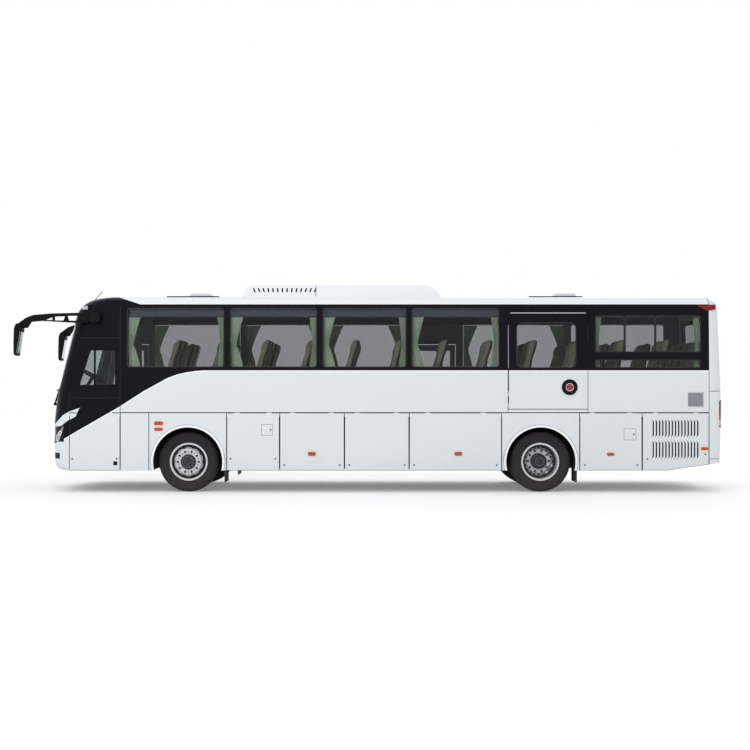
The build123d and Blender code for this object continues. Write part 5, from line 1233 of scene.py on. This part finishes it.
def shut_line_shade_strip(body):
    """Strip of painted shade along the two upright edges and the foot of a lower door, darkening its shut line.
    """
    spots = [v.co for v in nodes_of_frame[body].data.vertices]
    x0, x1 = min(c.x for c in spots), max(c.x for c in spots)
    z0, z1 = min(c.z for c in spots), max(c.z for c in spots)
    rise = [(x1, TAIL_RISE[1]), (TAIL_RISE[0], z0)] if body == "radiator_door_left" else [(x1, z0)]
    mx, mz = (x0 + x1) / 2, (z0 + z1) / 2
    inset = [(x - math.copysign(EDGE_INSET, x - mx), z - math.copysign(EDGE_INSET, z - mz))
             for x, z in [(x1, z1 - EDGE_STOP), *rise, (x0, z0), (x0, z1 - EDGE_STOP)]]
    bm = bmesh.new()
    bead(bm, inset, on_side(side_of(body)), half=0.0035, proud=0.0008, sunk=0.002, closed=False)
    return bm


def amber_finish(name):
    return finish(name, *AMBER, 0.22, grain=260, bump=0.0008, coat=0.05, specular=0.15)


def marker_finish():
    """Amber side markers, and clear position lamps at the top corners of the nose."""
    material = amber_finish("marker_lens")
    z = place(material.node_tree)[2]
    return recolour(material, mixed(z > CLEAR_ABOVE_Z, AMBER, CLEAR_LENS))


amber_lens = amber_finish("amber_lens")
lock_steel = finish("lock_steel", "#6a6e73", "#55595e", 0.35, metal=0.9, grain=300)
for body, spots in LOCKS:
    locks, side = bmesh.new(), side_of(body)
    shape = as_mesh(button(0.0145, 0.004, 16, "Y" if side < 0 else "-Y"), "lock")
    for x, z in spots:
        place_shape(locks, shape, (x, side * SKIN_Y, z))
    piece(body + "_locks", locks, lock_steel, body)
for body, place_on_door in DOOR_MARKERS:
    rides = "root" if body.startswith("lower_panels") else body
    piece(body + "_marker", lens_cap(*place_on_door, side_of(body)), amber_lens, rides)
# Black strips of painted shade along each lower door's shut line
for body in LOWER_DOORS:
    piece(body + "_edge", shut_line_shade_strip(body), black_seals_and_shade, body)
tow_cover = bmesh.new()
box_in(tow_cover, (-4.101, -1.2525, 0.426), (-4.038, -1.249, 0.489), 0.002)
piece("tow_cover", tow_cover, nozzle_black, "front_locker_door_left")
dress(marker_finish(), "marker_lamps")


# Roof fittings
# Air-conditioning pod in glass fibre, with black sheets behind its side slots as painted shade inside them, and
# wire guards over the four condenser fans.

GUARD_Z, GUARD_R, GUARD_T = 3.3243, 0.128, 0.0006
slot_shade_sheets, guards = bmesh.new(), bmesh.new()
# Black sheets behind the pod's side slots are painted shade inside the pockets
for y0, y1 in ((-0.8935, -0.8915), (0.8915, 0.8935)):
    box_in(slot_shade_sheets, (-1.915, y0, 3.198), (-0.90, y1, 3.27))
for x, y in ((-1.66, 0.38), (-1.172, 0.38), (-1.66, -0.38), (-1.172, -0.38)):
    profile = ((0, 0), (GUARD_T, 0), (GUARD_T, GUARD_R), (0, GUARD_R))
    loft(guards, [[(x + r * c, y + r * s, GUARD_Z + h) for h, r in profile] for c, s in circle(40)],
         closed=True)
piece("pod_slot_shade", slot_shade_sheets, nozzle_black, "root")
piece("fan_guards", guards, chassis_black, "root")


# Mirrors and wipers
# Two arms cut from light alloy in black powder coat, each with its pod on the cap and a moulded head that hangs
# ahead of the nose. The silvered glass is framed by the head's rim. Two wipers with rubber blades park below.

mirror_black = finish("mirror_black", "#0b0b0e", "#08080a", 0.42, grain=600, bump=0.0002, specular=0.1)
mirror_silver = finish("mirror_silver", "#c4ccd0", "#bcc4c8", 0.03, spread=0.01, metal=1.0, bump=0.0)
shell_light = finish("shell_light", "#b8bdc2", "#abb0b6", 0.4, grain=400)
# Name, outline in X and Z, its two places away from the middle, material, slot
MIRROR_SLABS = (
    ("mirror_glass", ((-5.5735, 2.204), (-5.5162, 2.531), (-5.5128, 2.531), (-5.5701, 2.204)), (1.425, 1.265),
     mirror_silver, "bare_alloy"),
    ("mirror_strips", ((-5.584, 2.20), (-5.5265, 2.545), (-5.5225, 2.545), (-5.58, 2.20)), (1.4415, 1.4395),
     shell_light, "rim_paint"),
)
for name, outline, ys, material, slot in MIRROR_SLABS:
    slabs = bmesh.new()
    for facing in (-1, 1):
        loft(slabs, [[(x, facing * y, z) for x, z in outline] for y in ys], caps=True)
    piece(name, slabs, material, "root")
dress(mirror_black, "mirrors", "wipers")


# Lamps
# Headlamps behind clear lenses: chromed bowls in a black bezel, their chrome drawn as painted reflections in
# light rings. Tail lamps in ribbed red with an amber and a clear field, wrapped round the corners.

# Bowls of the headlamps and fog lamps: distance from the middle, height, radius
BOWLS = ((0.89, 0.925, 0.062), (1.03, 0.93, 0.072), (0.905, 0.576, 0.03))
# Rings of painted reflection in a bowl: from, to in shares of its radius, brightness
BOWL_REFLECTION_RINGS = ((-1.0, 0.3, 0.9), (0.3, 0.42, 0.25), (0.42, 0.86, 0.5), (0.86, 1.0, 1.0))
# Bowls show ahead of this x. The chromed flank's painted reflection begins this far out, ahead of a leaning
# edge (slope, x at zero height) and under a falling one (slope, height at zero x)
BOWL_X, FLANK_Y, FLANK_REAR, FLANK_TOP = -5.0, 1.13, (0.4, -5.304), (1.05, 6.19)
# Side bulb in the flank: place, radii of its glass and its ring. The painted sheen on the flank is brighter
# below a height
SIDE_BULB, BULB_R, RING_R, SHEEN_BELOW_Z = (-4.958, 0.934), 0.012, 0.04, 0.95
# Black of the bezel, and the light colour of the painted reflections in the chrome
BEZEL, CHROME_REFLECTION = ("#0b0c10", "#0e0f13"), ("#e4e8ec", "#d2d7dc")
TAIL_RED, TAIL_AMBER, TAIL_CLEAR = ("#8e1020", "#7a0c1a"), ("#c9560f", "#b84a0b"), ("#c8ccd0", "#b4b9be")
AMBER_FIELD_Z, CLEAR_FIELD_Z = (1.14, 1.215), (1.06, 1.14)


# Dark lens with the chrome of bowls, flank and side bulb's ring drawn as painted reflections
def headlamp_finish():
    material = finish("headlamp_lens", "#0d0e12", "#101115", 0.12, 0.04, grain=60, bump=0.0, coat=0.12,
                      specular=0.15)
    x, y, z = place(material.node_tree)
    across, front = abs(y), x < BOWL_X
    flank = (across > FLANK_Y) * (x < z * FLANK_REAR[0] + FLANK_REAR[1]) * (z < x * FLANK_TOP[0] + FLANK_TOP[1])
    near = distance(x - SIDE_BULB[0], z - SIDE_BULB[1])
    # Painted sheen on the flank, stronger lower down, and a brighter painted ring round the side bulb
    painted_sheen = ((SHEEN_BELOW_Z - z) * 2.0 + 0.45).limited()
    level = near.between(BULB_R, RING_R) * 0.5 + painted_sheen - (near < BULB_R)
    painted_reflection = (flank * level).limited()
    for out, height, radius in BOWLS:
        far = distance(across - out, z - height)
        for low, high, share in BOWL_REFLECTION_RINGS:
            painted_reflection = painted_reflection | far.between(low * radius, high * radius) * share * front
    return recolour(material, mixed(painted_reflection, BEZEL, CHROME_REFLECTION))


def tail_finish():
    material = finish("tail_lens", *TAIL_RED, 0.18, 0.05, grain=150, bump=0.0006, coat=0.1, specular=0.2)
    tree = material.node_tree
    z = place(tree)[2]
    spot = tree.nodes.new("ShaderNodeTexCoord").outputs["Object"]
    waves = add(tree, "ShaderNodeTexWave", Scale=40, Vector=spot)
    waves.bands_direction = "Z"
    wire(tree.nodes["bumps"], Distance=0.0012, Height=waves.outputs["Fac"])
    coloured = mixed(z.between(*AMBER_FIELD_Z), TAIL_RED, TAIL_AMBER)
    return recolour(material, mixed(z.between(*CLEAR_FIELD_Z), coloured, TAIL_CLEAR))


dress(headlamp_finish(), "headlamps")
dress(tail_finish(), "tail_lamps")
